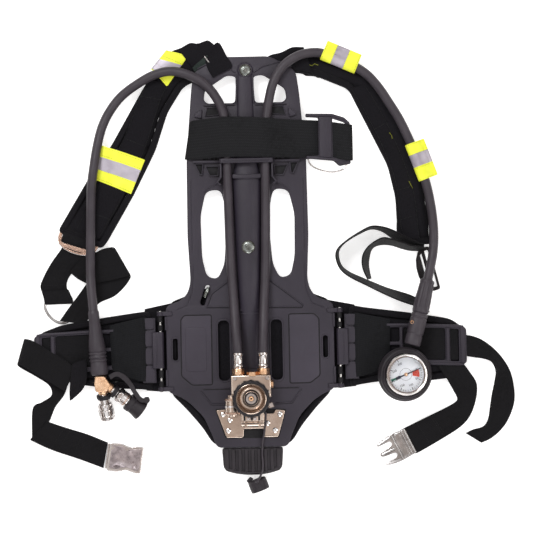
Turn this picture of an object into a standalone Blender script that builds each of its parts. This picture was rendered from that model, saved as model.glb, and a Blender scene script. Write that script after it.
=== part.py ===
"""Breathing apparatus carrying set: backplate, harness, reducer, hoses and gauge.

The set lies flat on its wearer side.  +X is to the right seen from the cylinder
side, +Y runs up the backplate and +Z points away from the wearer.  The origin is
midway between the two hip hinges, on the flat underside of the lumbar pad.
Lengths in this file are millimetres; MM turns them into metres.
"""
import math

import bmesh
import bpy
from mathutils import Matrix, Vector

MM = 0.001
GAP = 0.3

# driving dimensions
PAD_THICKNESS = 13.0
PLATE_THICKNESS = 5.0
PLATE_BOTTOM = PAD_THICKNESS + GAP
PLATE_TOP = PLATE_BOTTOM + PLATE_THICKNESS
HOSE_RADIUS = 6.5
HOSE_SPACING = 17.0
HINGE_X = 126.0
HINGE_Z = 18.0
KNUCKLE_RADIUS = 4.5
PIN_RADIUS = 2.0
PIN_HOLE_RADIUS = 2.3
PIN_HALF_LENGTH = 57.0
WEBBING_THICKNESS = 1.8
WEBBING_WIDTH = 36.0
CHANNEL_Z = PLATE_TOP + 0.8 + HOSE_RADIUS
PAD_HOSE_Z = PAD_THICKNESS + GAP + HOSE_RADIUS
HANDWHEEL_CENTRE = (0.0, -66.0)
REDUCER_PORT_X = 17.5
REDUCER_PORT_Z = 42.0
TILT_AXIS = (0.0, -104.0, 26.5)
GAUGE_BASE = (213.0, -38.0, 22.4)
GAUGE_TILT = 6.0
LEVER_AXIS = (88.0, 292.0, 32.5)
MANIFOLD_HUB = (-209.8, -40.0, 29.0)
COUPLING_DIRECTION = (0.12, -0.95, -0.28)
BRANCH_DIRECTION = (0.78, -0.60, -0.17)
COUPLING_OFFSET = 18.0

# colours and finishes: red, green, blue, metallic, roughness
FINISHES = {
    "plate_plastic": (0.055, 0.047, 0.058, 0.0, 0.45),
    "hose_rubber": (0.062, 0.054, 0.060, 0.0, 0.5),
    "black_rubber": (0.030, 0.027, 0.030, 0.0, 0.6),
    "pad_fabric": (0.012, 0.011, 0.014, 0.0, 0.9),
    "webbing": (0.010, 0.011, 0.012, 0.0, 0.85),
    "reflective_tape": (0.78, 0.85, 0.06, 0.0, 0.6),
    "chrome": (0.72, 0.69, 0.68, 1.0, 0.18),
    "steel": (0.60, 0.58, 0.57, 1.0, 0.3),
    "brass": (0.80, 0.55, 0.30, 1.0, 0.3),
    "dial_white": (0.85, 0.86, 0.88, 0.0, 0.5),
    "glass": (0.90, 0.92, 0.94, 0.0, 0.05),
    "needle_black": (0.01, 0.01, 0.015, 0.0, 0.5),
}


def clear_scene():
    for old in list(bpy.data.objects):
        bpy.data.objects.remove(old, do_unlink=True)


def make_collection(name):
    group = bpy.data.collections.new(name)
    bpy.context.scene.collection.children.link(group)
    return group


clear_scene()
PARTS = make_collection("breathing_apparatus")
CUTTERS = make_collection("cutters")


def make_material(name):
    red, green, blue, metallic, roughness = FINISHES[name]
    material = bpy.data.materials.new(name)
    material.use_nodes = True
    shader = material.node_tree.nodes["Principled BSDF"]
    shader.inputs["Base Color"].default_value = (red, green, blue, 1.0)
    shader.inputs["Metallic"].default_value = metallic
    shader.inputs["Roughness"].default_value = roughness
    material.diffuse_color = (red, green, blue, 1.0)
    return material


# ---------------------------------------------------------------- point helpers
def metres(point):
    return Vector(point) * MM


def mirrored(points):
    """The same outline on the other side of the plate's centreline."""
    return [(-point[0],) + tuple(point[1:]) for point in reversed(points)]


def catmull_rom(points, steps):
    """A smooth run through all the points, with steps pieces between two of them."""
    knots = [Vector(point) for point in points]
    knots = [knots[0] * 2 - knots[1]] + knots + [knots[-1] * 2 - knots[-2]]
    run = []
    for index in range(1, len(knots) - 2):
        before, start, end, after = knots[index - 1:index + 3]
        for step in range(steps):
            t = step / steps
            run.append(0.5 * ((2 * start) + (end - before) * t
                              + (2 * before - 5 * start + 4 * end - after) * t ** 2
                              + (3 * start - before - 3 * end + after) * t ** 3))
    run.append(knots[-2])
    return run


def evenly_spaced(points, spacing):
    """Points a set distance apart along a smooth curve through the given ones."""
    fine = catmull_rom(points, 16)
    lengths = [0.0]
    for before, after in zip(fine, fine[1:]):
        lengths.append(lengths[-1] + (after - before).length)
    count = max(2, round(lengths[-1] / spacing))
    spaced = []
    place = 0
    for index in range(count + 1):
        wanted = lengths[-1] * index / count
        while place < len(fine) - 2 and lengths[place + 1] < wanted:
            place += 1
        share = (wanted - lengths[place]) / (lengths[place + 1] - lengths[place])
        spaced.append(fine[place].lerp(fine[place + 1], min(share, 1.0)))
    return spaced


def rounded(points, radius, steps=3):
    """An outline with each corner replaced by a short curve."""
    outline = []
    count = len(points)
    for index in range(count):
        corner = Vector(points[index])
        before = Vector(points[index - 1]) - corner
        after = Vector(points[(index + 1) % count]) - corner
        reach = min(radius, before.length * 0.45, after.length * 0.45)
        start = corner + before.normalized() * reach
        end = corner + after.normalized() * reach
        for step in range(steps + 1):
            t = step / steps
            outline.append(start * (1 - t) ** 2 + corner * 2 * t * (1 - t) + end * t ** 2)
    return outline


def circle(radius, count, centre=(0.0, 0.0)):
    turn = 2 * math.pi / count
    return [(centre[0] + radius * math.cos(turn * index),
             centre[1] + radius * math.sin(turn * index)) for index in range(count)]


# --------------------------------------------------------------- object helpers
def add_object(name, data, parent=None):
    piece = bpy.data.objects.new(name, data)
    PARTS.objects.link(piece)
    piece.parent = parent
    return piece


def finish(piece, material, smooth=True):
    piece.data.materials.clear()
    piece.data.materials.append(material)
    if smooth and piece.type == "MESH":
        piece.data.shade_smooth()
        piece.data.set_sharp_from_angle(angle=math.radians(35))
    return piece


def place(piece, location, direction=(0, 0, 1)):
    """Put the piece at a point with its own +Z along the direction."""
    piece.location = metres(location)
    turn = Vector(direction).normalized().to_track_quat("Z", "Y")
    piece.rotation_euler = turn.to_euler()
    return piece


def as_guide(piece):
    """Turn a helper shape into a hidden operand of a Boolean."""
    PARTS.objects.unlink(piece)
    CUTTERS.objects.link(piece)
    piece.hide_render = True
    piece.display_type = "WIRE"
    return piece


def combine(piece, other, operation):
    as_guide(other)
    modifier = piece.modifiers.new(operation.lower() + "_" + other.name, "BOOLEAN")
    modifier.operation = operation
    modifier.solver = "EXACT"
    modifier.object = other
    return piece


def cut(piece, other):
    return combine(piece, other, "DIFFERENCE")


def fuse(piece, other):
    return combine(piece, other, "UNION")


def mesh_from_curve(name, curve_piece):
    """A welded mesh in the place of a curve object."""
    bpy.context.view_layer.update()
    graph = bpy.context.evaluated_depsgraph_get()
    mesh = bpy.data.meshes.new_from_object(curve_piece.evaluated_get(graph))
    shape = bmesh.new()
    shape.from_mesh(mesh)
    bmesh.ops.remove_doubles(shape, verts=shape.verts, dist=0.00001)
    bmesh.ops.recalc_face_normals(shape, faces=shape.faces)
    shape.to_mesh(mesh)
    shape.free()
    matrix = curve_piece.matrix_world.copy()
    bpy.data.objects.remove(curve_piece, do_unlink=True)
    piece = add_object(name, mesh)
    piece.matrix_world = matrix
    return piece


def slab(name, outline, bottom, top, holes=()):
    """A flat outline with holes, standing from bottom to top."""
    curve = bpy.data.curves.new(name + "_outline", "CURVE")
    curve.dimensions = "2D"
    curve.fill_mode = "BOTH"
    curve.extrude = (top - bottom) / 2 * MM
    for loop in [outline] + list(holes):
        spline = curve.splines.new("POLY")
        spline.points.add(len(loop) - 1)
        for point, corner in zip(spline.points, loop):
            point.co = (corner[0] * MM, corner[1] * MM, 0.0, 1.0)
        spline.use_cyclic_u = True
    flat = add_object(name + "_outline", curve)
    flat.location.z = (top + bottom) / 2 * MM
    return mesh_from_curve(name, flat)


def turned(name, profile, steps=24, parent=None):
    """A lathe shape from (radius, height) points, outer side from top to bottom."""
    mesh = bpy.data.meshes.new(name)
    shape = bmesh.new()
    corners = [shape.verts.new((radius * MM, 0.0, height * MM)) for radius, height in profile]
    for before, after in zip(corners, corners[1:]):
        shape.edges.new((before, after))
    if profile[0][0] > 0:
        shape.edges.new((corners[-1], corners[0]))
    shape.to_mesh(mesh)
    shape.free()
    piece = add_object(name, mesh, parent)
    screw = piece.modifiers.new("turn", "SCREW")
    screw.steps = steps
    screw.render_steps = steps
    screw.use_merge_vertices = True
    screw.merge_threshold = 0.00001
    screw.use_smooth_shade = True
    return piece


def rod(name, radius, start, end, steps=16):
    """A plain cylinder between two points."""
    begin = Vector(start)
    axis = Vector(end) - begin
    bpy.ops.mesh.primitive_cylinder_add(vertices=steps, radius=radius * MM, depth=axis.length * MM)
    piece = bpy.context.active_object
    for group in piece.users_collection:
        group.objects.unlink(piece)
    PARTS.objects.link(piece)
    piece.name = name
    return place(piece, begin + axis / 2, axis)


def block(name, low, high, bevel=0.0):
    """A box between two corners, with its edges bevelled."""
    size = [(high[axis] - low[axis]) * MM for axis in range(3)]
    mesh = bpy.data.meshes.new(name)
    shape = bmesh.new()
    bmesh.ops.create_cube(shape, size=1.0)
    bmesh.ops.scale(shape, vec=size, verts=shape.verts)
    shape.to_mesh(mesh)
    shape.free()
    piece = add_object(name, mesh)
    piece.location = [(high[axis] + low[axis]) / 2 * MM for axis in range(3)]
    if bevel:
        modifier = piece.modifiers.new("edges", "BEVEL")
        modifier.width = bevel * MM
        modifier.segments = 2
    return piece


def tube(name, points, radius, cyclic=False, resolution=2):
    """A round cord, hose or wire along the points."""
    curve = bpy.data.curves.new(name, "CURVE")
    curve.dimensions = "3D"
    curve.bevel_depth = radius * MM
    curve.bevel_resolution = resolution
    curve.use_fill_caps = not cyclic
    spline = curve.splines.new("POLY")
    spline.points.add(len(points) - 1)
    for point, corner in zip(spline.points, points):
        point.co = tuple(metres(corner)) + (1.0,)
    spline.use_cyclic_u = cyclic
    return add_object(name, curve)


def strap(name, edges, thickness=WEBBING_THICKNESS):
    """Flat webbing: each entry of edges is a pair of points, one on each edge."""
    mesh = bpy.data.meshes.new(name)
    shape = bmesh.new()
    rows = [(shape.verts.new(metres(left)), shape.verts.new(metres(right))) for left, right in edges]
    for before, after in zip(rows, rows[1:]):
        shape.faces.new((before[0], before[1], after[1], after[0]))
    shape.to_mesh(mesh)
    shape.free()
    piece = add_object(name, mesh)
    solidify = piece.modifiers.new("thickness", "SOLIDIFY")
    solidify.thickness = thickness * MM
    solidify.offset = 0.0
    return piece


def sheet_strip(name, profile, width, thickness, location, direction):
    """A strip with the (across, height) profile, width long along the direction."""
    along = Vector((direction[0], direction[1], 0.0)).normalized()
    across = Vector((along.y, -along.x, 0.0))
    base = Vector((location[0], location[1], 0.0))
    edges = []
    for side, height in profile:
        middle = base + across * side + Vector((0.0, 0.0, height))
        edges.append((middle - along * width / 2, middle + along * width / 2))
    return strap(name, edges, thickness)


# -------------------------------------------------------------------- backplate
def spine_section(half_width, height):
    """Half an ellipse standing on the plate, as (across, height) points."""
    section = [(half_width, -1.0)]
    for index in range(9):
        angle = math.pi * index / 8
        section.append((half_width * math.cos(angle), height * math.sin(angle)))
    section.append((-half_width, -1.0))
    return section


def spine(name, half_width, height, low_y, high_y):
    ridge = slab(name, spine_section(half_width, height), 0.0, high_y - low_y)
    ridge.matrix_world = (Matrix.Translation(metres((0.0, high_y, PLATE_TOP)))
                          @ Matrix.Rotation(math.radians(90), 4, "X") @ ridge.matrix_world)
    return ridge


def backplate(plastic):
    right_edge = [(36, 412), (72, 391), (76, 362), (79, 327), (84, 271), (85, 160), (82, 98),
                  (86, 82), (96, 71), (118, 64), (118, -57), (98, -65), (85, -75), (67, -94),
                  (55, -122), (50, -137)]
    outline = rounded(right_edge + mirrored(right_edge), 7.0, 2)
    window = rounded([(12, 384), (25, 386), (56, 366), (58, 352), (53, 347), (14, 347)], 4.0, 2)
    side_slot = rounded([(37, 226), (58, 224), (66, 190), (65, 130), (59, 104), (44, 100),
                         (34, 120), (31, 160), (32, 205)], 8.0, 2)
    long_slot = rounded([(29, 42), (45, 42), (45, -43), (29, -43)], 4.0, 2)
    end_slot = rounded([(102, 18), (109, 18), (109, -13), (102, -13)], 3.0, 1)
    right_holes = [window, side_slot, long_slot, end_slot]
    holes = right_holes + [mirrored(hole) for hole in right_holes]
    plate = slab("backplate", outline, PLATE_BOTTOM, PLATE_TOP, holes)
    fuse(plate, spine("spine_tube", 14.0, 11.0, 24.0, 258.0))
    fuse(plate, spine("spine_neck", 11.0, 5.0, 250.0, 400.0))
    for side in (-1, 1):
        for number, (low_y, high_y) in enumerate([(50.0, 56.0), (-56.0, -50.0)]):
            label = "{}_{}".format("left" if side < 0 else "right", number)
            ends = sorted((side * 110.0, side * HINGE_X))
            arm = block("lug_arm_" + label, (ends[0], low_y, 14.0), (ends[1], high_y, 20.5))
            knuckle = rod("lug_eye_" + label, KNUCKLE_RADIUS, (side * HINGE_X, low_y, HINGE_Z),
                          (side * HINGE_X, high_y, HINGE_Z))
            fuse(plate, arm)
            fuse(plate, knuckle)
        cut(plate, rod("lug_bore_" + str(side), PIN_HOLE_RADIUS,
                       (side * HINGE_X, -60.0, HINGE_Z), (side * HINGE_X, 60.0, HINGE_Z)))
    return finish(plate, plastic)


def hinge_pins(metal):
    for side, name in ((-1, "left_hinge_pin"), (1, "right_hinge_pin")):
        pin = rod(name, PIN_RADIUS, (side * HINGE_X, -PIN_HALF_LENGTH, HINGE_Z),
                  (side * HINGE_X, PIN_HALF_LENGTH, HINGE_Z), 12)
        finish(pin, metal)


def bumper_foot(rubber):
    outline = rounded([(-44, -137.5), (44, -137.5), (41, -172), (30, -176), (-30, -176),
                       (-41, -172)], 5.0, 2)
    return finish(slab("bumper_foot", outline, 0.0, 21.5), rubber)


def lumbar_pad(fabric):
    right_edge = [(60, 88), (113, 68), (113, -60), (90, -84), (70, -108), (57, -129), (46, -136)]
    outline = rounded(right_edge + mirrored(right_edge), 8.0, 2)
    return finish(slab("lumbar_pad", outline, 0.0, PAD_THICKNESS), fabric)


# --------------------------------------------------------------- shoulder straps
LEFT_PAD_OUTER = [(-262, 178), (-222, 247), (-190, 291), (-145, 368), (-128, 395), (-107, 421),
                  (-86, 428)]
LEFT_PAD_INNER = [(-31, 417), (-28, 398), (-60, 384), (-87, 372), (-110, 336), (-128, 283),
                  (-160, 221), (-203, 153)]
RIGHT_PAD_OUTER = [(60, 405), (85, 420), (120, 416), (156, 402), (178, 385), (192, 367),
                   (205, 347), (219, 323), (231, 298), (244, 264), (255, 230), (262, 192),
                   (265, 160), (262, 143)]
RIGHT_PAD_INNER = [(219, 143), (211, 158), (209, 210), (199, 255), (179, 296), (157, 341),
                   (146, 364), (101, 383), (68, 392), (28, 386), (28, 402)]


def shoulder_pads(fabric):
    left = LEFT_PAD_OUTER + [(-62, 434), (-42, 431)] + LEFT_PAD_INNER
    right = RIGHT_PAD_OUTER + RIGHT_PAD_INNER
    finish(slab("left_shoulder_pad", rounded(left, 8.0, 2), 0.0, PAD_THICKNESS), fabric)
    finish(slab("right_shoulder_pad", rounded(right, 6.0, 2), 0.0, PAD_THICKNESS), fabric)


def reflective_bands(tape):
    """Bands over the left pad, and round the hose on the right pad."""
    top = PAD_THICKNESS + 1.2
    flat = [(-30, top), (0, top), (30, top)]
    half = [(-17, top), (0, top), (14, top)]
    crown = PAD_HOSE_Z + HOSE_RADIUS + 2.4
    hooped = [(-26, top), (-12.5, top + 0.4), (-11, crown - 4), (-7, crown - 0.8), (0, crown),
              (7, crown - 0.8), (10.5, crown - 4), (11.2, top + 1)]
    bands = [
        ("upper_left_band", half, 46, (-106, 402), (26, 38)),
        ("lower_left_band", flat, 52, (-177, 256), (24, 48)),
        ("upper_right_band", hooped, 50, (136, 403.5), (-46, 24)),
        ("lower_right_band", hooped, 52, (240.5, 261), (-24, 66)),
    ]
    for name, profile, length, centre, direction in bands:
        finish(sheet_strip(name, profile, length, 1.4, centre, direction), tape, False)


def slider_buckle(name, metal, centre, angle, bottom):
    """A ladder-lock frame: two slots with a bar between them."""
    outline = rounded([(-32, 12), (32, 12), (32, -3), (20, -12), (-20, -12), (-32, -3)], 4.0, 2)
    upper_slot = [(-27, 8), (27, 8), (27, 3), (-27, 3)]
    lower_slot = [(-26, 0), (26, 0), (17, -8), (-17, -8)]
    frame = slab(name, outline, 0.0, 3.0, [upper_slot, lower_slot])
    frame.matrix_world = (Matrix.Translation(metres((centre[0], centre[1], bottom)))
                          @ Matrix.Rotation(math.radians(angle), 4, "Z") @ frame.matrix_world)
    return finish(frame, metal)


def left_pull_strap(webbing):
    edges = [((-262, 145, 7), (-216, 126, 7)), ((-270, 134, 5), (-232, 123, 5)),
             ((-283, 116, 3), (-250, 113, 3)), ((-292, 98, 2), (-258, 99, 2)),
             ((-293, 86, 2), (-256, 87, 2)), ((-289, 77, 2), (-250, 77, 2))]
    return finish(strap("left_pull_strap", edges), webbing, False)


def left_lower_webbing(webbing):
    """Webbing that leaves the slider, folds over itself and runs to the hip."""
    edges = [((-212, 125, 11), (-232, 99, 8)), ((-203, 141, 12), (-215, 95, 8)),
             ((-194, 145, 12), (-170, 108, 8)), ((-192, 146, 9), (-167, 107, 5)),
             ((-197, 141, 6), (-174, 98, 2)), ((-215, 118, 4), (-186, 84, 1.5)),
             ((-229, 94, 4), (-211, 72, 1.5)), ((-254, 69, 6), (-227, 57, 6)),
             ((-272, 50, 9), (-240, 50, 9))]
    return finish(strap("left_lower_webbing", edges), webbing, False)


def right_lower_webbing(webbing):
    """A loop of webbing that stands on its edge between the slider and the hip."""
    route = [(207, 147), (189, 164), (158, 161), (139, 150), (127, 139), (126, 127),
             (131, 114), (143, 105), (178, 88), (202, 78)]
    leans = [8, 6, 5, 2, 2, 2, 3, 5, 9, 14]
    edges = [((233, 134, 2), (235, 130, 16)), ((217, 137, 1.5), (220, 131, 24))]
    for (x, y), lean in zip(route, leans):
        rise = math.sqrt(WEBBING_WIDTH ** 2 - (1.5 * lean) ** 2)
        edges.append(((x, y, 1.2), (x + 0.6 * lean, y - lean, 1.2 + rise)))
    edges.append(((222, 74, 2), (232, 56, 18)))
    edges.append(((240, 65, 3), (250, 49, 15)))
    return finish(strap("right_lower_webbing", edges), webbing, False)


def right_pull_strap(webbing):
    route = [(224, 127), (203, 134), (186, 142), (174, 138), (165, 130), (161, 120), (162, 109)]
    edges = [((x, y, 1.2), (x - 3, y - 4, WEBBING_WIDTH - 2)) for x, y in route]
    return finish(strap("right_pull_strap", edges), webbing, False)


def pull_ring(metal):
    """A D ring whose straight bar lies in the fold of the pull strap."""
    route = [(-287, 73, 2.2), (-268, 72.5, 2.2), (-250, 72, 2.2), (-247, 62, 2.2),
             (-253, 50, 2.2), (-264, 43, 2.2), (-276, 46, 2.2), (-286, 57, 2.2)]
    return finish(tube("pull_ring", route, 1.6, cyclic=True), metal)


# ------------------------------------------------------------------- hip wings
def wing_plate(side, name, plastic):
    """Hinge block with a ladder of four windows."""
    def flip(points):
        return points if side > 0 else mirrored(points)
    outline = flip([(132, 47), (152, 47), (152, -44), (132, -44)])
    windows = []
    for row in range(4):
        top = 43.0 - 22.0 * row
        windows.append(flip([(138, top), (148, top), (148, top - 17), (138, top - 17)]))
    plate = slab(name, rounded(outline, 2.0, 1), PLATE_BOTTOM, PLATE_TOP, windows)
    ends = sorted((side * HINGE_X, side * 133.0))
    fuse(plate, block(name + "_arm", (ends[0], -24.0, 14.0), (ends[1], 28.0, 18.0)))
    fuse(plate, rod(name + "_eye", KNUCKLE_RADIUS, (side * HINGE_X, -24.0, HINGE_Z),
                    (side * HINGE_X, 28.0, HINGE_Z)))
    cut(plate, rod(name + "_bore", PIN_HOLE_RADIUS, (side * HINGE_X, -40.0, HINGE_Z),
                   (side * HINGE_X, 40.0, HINGE_Z)))
    return finish(plate, plastic)


def belt_frame(side, name, plastic):
    """Flat guide that carries the belt, with slots for it at its outer end."""
    def flip(points):
        return points if side > 0 else mirrored(points)
    outline = flip([(192, 32), (295, 31), (304, 24), (304, -22), (297, -29), (192, -27)])
    holes = [flip([(262, 20), (274, 20), (274, -18), (262, -18)]),
             flip([(281, 22), (296, 22), (296, -21), (281, -21)])]
    frame = slab(name, rounded(outline, 3.0, 2), PLATE_BOTTOM, PLATE_TOP - 0.8, holes)
    return finish(frame, plastic)


def wing_pads(fabric):
    right = [(140, 60), (160, 56), (225, 47), (261, 41), (283, 37), (303, 22), (303, -27),
             (281, -46), (252, -49), (177, -49), (150, -53), (140, -56)]
    left = [(-140, -56), (-150, -53), (-205, -50), (-255, -42), (-272, -32), (-296, 4),
            (-298, 28), (-265, 40), (-205, 49), (-160, 55), (-140, 57)]
    finish(slab("right_wing_pad", rounded(right, 6.0, 2), 0.0, PAD_THICKNESS), fabric)
    finish(slab("left_wing_pad", rounded(left, 6.0, 2), 0.0, PAD_THICKNESS), fabric)


def left_belt_strap(webbing):
    """Belt from its free end over the frame, round and down to the buckle."""
    edges = [((-248, -24, 20), (-265, -56, 18)), ((-280, 2, 20.3), (-297, -31, 19.3)),
             ((-303, 17, 20.3), (-315, -18, 19.3)), ((-314, 24, 17), (-326, -12, 14)),
             ((-311, 20, 11), (-324, -15, 7)), ((-303, -6, 8), (-318, -34, 4)),
             ((-281, -36, 5), (-300, -55, 3)), ((-263, -60, 3), (-292, -66, 2)),
             ((-279, -86, 2), (-309, -77, 2)), ((-284, -95, 2), (-311, -121, 2)),
             ((-282, -96, 4.6), (-309, -123, 4.6)), ((-244, -111, 5), (-261, -144, 5)),
             ((-206, -127, 5.3), (-213, -162, 5.3))]
    return finish(strap("left_belt_strap", edges), webbing, False)


def right_belt_strap(webbing):
    edges = [((263, -31, 15.2), (301, -31.5, 15.2)), ((269, -38, 16), (312, -44, 15.5)),
             ((277, -51, 15.5), (318, -56, 10)), ((285, -63, 8), (315, -72, 4)),
             ((292, -76, 2), (308, -95, 2)), ((288, -79, 3), (303, -107, 3)),
             ((252, -98, 4), (272, -131, 4)), ((219, -114, 4), (238, -147, 4))]
    return finish(strap("right_belt_strap", edges), webbing, False)


def belt_tail(webbing):
    edges = [((305, 14, 15), (305, -16, 15)), ((326, 7, 16), (327, -18, 12)),
             ((349, -14, 20), (343, -27, 5)), ((366, -40, 20), (344, -50, 2.5)),
             ((370, -78, 18), (338, -83, 2)), ((358, -110, 14), (333, -110, 2)),
             ((342, -129, 10), (321, -121, 1.5)), ((322, -140, 4), (303, -127, 1.5))]
    return finish(strap("belt_tail", edges), webbing, False)


def female_buckle(metal):
    """Flat cast box, open at the end that the three prongs enter."""
    outline = rounded([(-24, 20), (-6, 20), (4, 16.5), (14, 19), (24, 19), (24, -19),
                       (14, -19), (4, -15.5), (-8, -20), (-24, -20)], 3.0, 2)
    body = slab("female_buckle", outline, 0.0, 11.0)
    mouth = slab("buckle_mouth", [(-12, 13.5), (30, 15.5), (30, -15.5), (-12, -12.5)], 2.5, 8.5)
    turn = Matrix.Translation(metres((-180, -150, 0.2))) @ Matrix.Rotation(math.radians(-9), 4, "Z")
    body.matrix_world = turn @ body.matrix_world
    mouth.matrix_world = turn @ mouth.matrix_world
    cut(body, mouth)
    return finish(body, metal)


def male_buckle(metal):
    """Cast bar with a stiff middle prong and two springy side prongs."""
    outline = [(-22, 19), (-4, 20), (22, 17), (22, 12), (4, 12), (1, 8), (1, 3), (22, 2.5),
               (22, -2.5), (1, -3), (1, -8), (4, -12), (22, -12), (22, -17), (-4, -20),
               (-22, -19)]
    body = slab("male_buckle", outline, 1.0, 7.0)
    turn = Matrix.Translation(metres((203, -143, 0))) @ Matrix.Rotation(math.radians(206), 4, "Z")
    body.matrix_world = turn @ body.matrix_world
    return finish(body, metal)


# -------------------------------------------------------------- cylinder strap
def cylinder_strap(webbing):
    profile = [(-86, 14.6), (-85.5, 19.6), (-80, 21.5), (-60, 26), (-42, 32), (-28, 35),
               (0, 36), (28, 35), (44, 31), (60, 27), (76, 26), (118, 26)]
    base = PLATE_TOP - 18.3
    edges = [((x, 271 if x < 60 else 273, z + base), (x, 321 if x < 60 else 319, z + base))
             for x, z in profile]
    return finish(strap("cylinder_strap", edges, 2.0), webbing, False)


def strap_lever(plastic):
    """Cam lever of the cylinder strap."""
    outline = [(84, 329), (121, 328), (138, 322), (146, 316), (146, 257), (122, 264), (84, 267)]
    hole = [(92, 320), (101, 320), (101, 273), (92, 273)]
    lever = slab("strap_lever", rounded(outline, 3.0, 2), LEVER_AXIS[2] - 3.0,
                 LEVER_AXIS[2] + 3.0, [hole])
    return finish(lever, plastic)


def strap_bail(metal):
    height = LEVER_AXIS[2]
    route = [(86.5, 264.9, height), (90, 258, height), (103, 250, height), (117, 246, height),
             (129, 247, height), (138, 251, height), (140.8, 256.6, height)]
    return finish(tube("strap_bail", evenly_spaced(route, 6.0), 1.2), metal)


# -------------------------------------------------------------------- reducer
def reducer_bracket(metal):
    outline = rounded([(-50, -84), (47, -86), (36, -123), (-36, -122)], 3.0, 2)
    plate = slab("reducer_bracket", outline, PLATE_TOP + GAP, PLATE_TOP + 2.3)
    x, y, z = TILT_AXIS
    fuse(plate, rod("bracket_barrel", 4.2, (x - 8, y, z), (x + 10, y, z)))
    fuse(plate, block("bracket_web", (x - 8, y - 3, PLATE_TOP + 1), (x + 10, y + 3, z - 1)))
    fuse(plate, rod("bracket_pin", 1.6, (x - 17, y, z), (x + 19, y, z), 12))
    return finish(plate, metal)


def reducer_body(metal):
    x, y = HANDWHEEL_CENTRE
    body = block("reducer_body", (-28, -61, 25), (28, -34, 50), 2.5)
    fuse(body, rod("reducer_housing", 16.5, (x, y, 25.4), (x, y, 50.4), 24))
    fuse(body, block("reducer_arm", (-15, -100, 25.2), (17, -60, 30)))
    pivot = TILT_AXIS
    for number, low_x in enumerate((-15.0, 12.0)):
        fuse(body, rod("reducer_ear_" + str(number), 4.0, (low_x, pivot[1], pivot[2]),
                       (low_x + 5.0, pivot[1], pivot[2])))
        fuse(body, block("reducer_cheek_" + str(number), (low_x, pivot[1], 25.2),
                         (low_x + 5.0, -98.0, 30.0)))
    cut(body, block("reducer_gap", (-9.5, -112, 20), (11.5, -98.5, 34)))
    cut(body, rod("reducer_pin_bore", 1.9, (-20, pivot[1], pivot[2]), (22, pivot[1], pivot[2]), 12))
    cut(body, rod("piston_bore", 8.4, (-14, -47.5, 38), (40, -47.5, 38), 20))
    return finish(body, metal)


def reducer_piston(metal):
    """Spring-loaded piston that throttles the cylinder pressure."""
    profile = [(0, 9), (8.0, 9), (8.0, 3), (3, 3), (3, -5), (0, -5)]
    piston = turned("reducer_piston", profile, 20)
    place(piston, (-6.0, -47.5, 38.0), (1, 0, 0))
    return finish(piston, metal)


def reducer_spring(metal):
    turns = 5
    count = 10 * turns
    route = []
    for index in range(count + 1):
        angle = 2 * math.pi * index / 10
        along = 5.6 + 19.0 * index / count
        route.append((along, -47.5 + 6.0 * math.cos(angle), 38 + 6.0 * math.sin(angle)))
    return finish(tube("reducer_spring", route, 0.9, resolution=1), metal)


def hose_ferrule(name, metal, side):
    profile = [(0, 31), (6.6, 31), (7.4, 28), (7.4, 12), (6.2, 11), (6.2, 9), (8.6, 9), (8.6, 0),
               (0, 0)]
    ferrule = turned(name, profile, 16)
    place(ferrule, (side * REDUCER_PORT_X, -33.7, REDUCER_PORT_Z), (0, 1, 0))
    return finish(ferrule, metal)


def handwheel(rubber):
    x, y = HANDWHEEL_CENTRE
    lobes = 10
    rim = []
    for index in range(6 * lobes):
        angle = 2 * math.pi * index / (6 * lobes)
        radius = 24.4 + 0.9 * math.cos(lobes * angle)
        rim.append((x + radius * math.cos(angle), y + radius * math.sin(angle)))
    wheel = slab("handwheel", rim, 52.0, 75.0, [circle(12.0, 24, (x, y))])
    cut(wheel, rod("handwheel_cup", 20.5, (x, y, 58.0), (x, y, 90.0), 32))
    return finish(wheel, rubber)


def connector(metal):
    """Conical nozzle that seats in the cylinder valve."""
    profile = [(0, 19), (2.5, 19), (5.5, 17.5), (9.5, 14), (10.6, 12), (10.6, 8.5), (11.6, 8),
               (11.6, 0), (0, 0)]
    nozzle = turned("connector", profile, 24)
    place(nozzle, HANDWHEEL_CENTRE + (50.8,))
    return finish(nozzle, metal)


def relief_valve(metal):
    profile = [(0, 31), (8.0, 31), (9.0, 29), (9.0, 5), (6.5, 4), (6.5, 0), (0, 0)]
    valve = turned("relief_valve", profile, 20)
    place(valve, (-28.0, -61.4, 38.0), (0, -1, 0))
    return finish(valve, metal)


LANYARD_ROUTE = [(25, -88, 25), (24.5, -95, 23.5), (22.5, -105, 22.8), (17, -120, 22.8),
                 (14, -134, 23.6), (13.5, -148, 23.8), (14, -160, 24), (13.4, -169, 25.4),
                 (10.5, -176.5, 28), (7.5, -181, 29), (5, -184, 28.7)]


def lanyard(rubber):
    return finish(tube("lanyard", evenly_spaced(LANYARD_ROUTE, 4.0), 1.5), rubber)


def dust_cap(rubber):
    """Cup for the connector's mouth, lying on its side at the end of the cord."""
    profile = [(0, 17.4), (12, 17.4), (13.3, 16), (13.3, 0), (11.3, 0), (11.3, 14.5), (0, 14.5)]
    cap = turned("dust_cap", profile, 24)
    place(cap, (10.2, -198.5, 13.5), (-0.345, 0.939, 0))
    return finish(cap, rubber)


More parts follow.
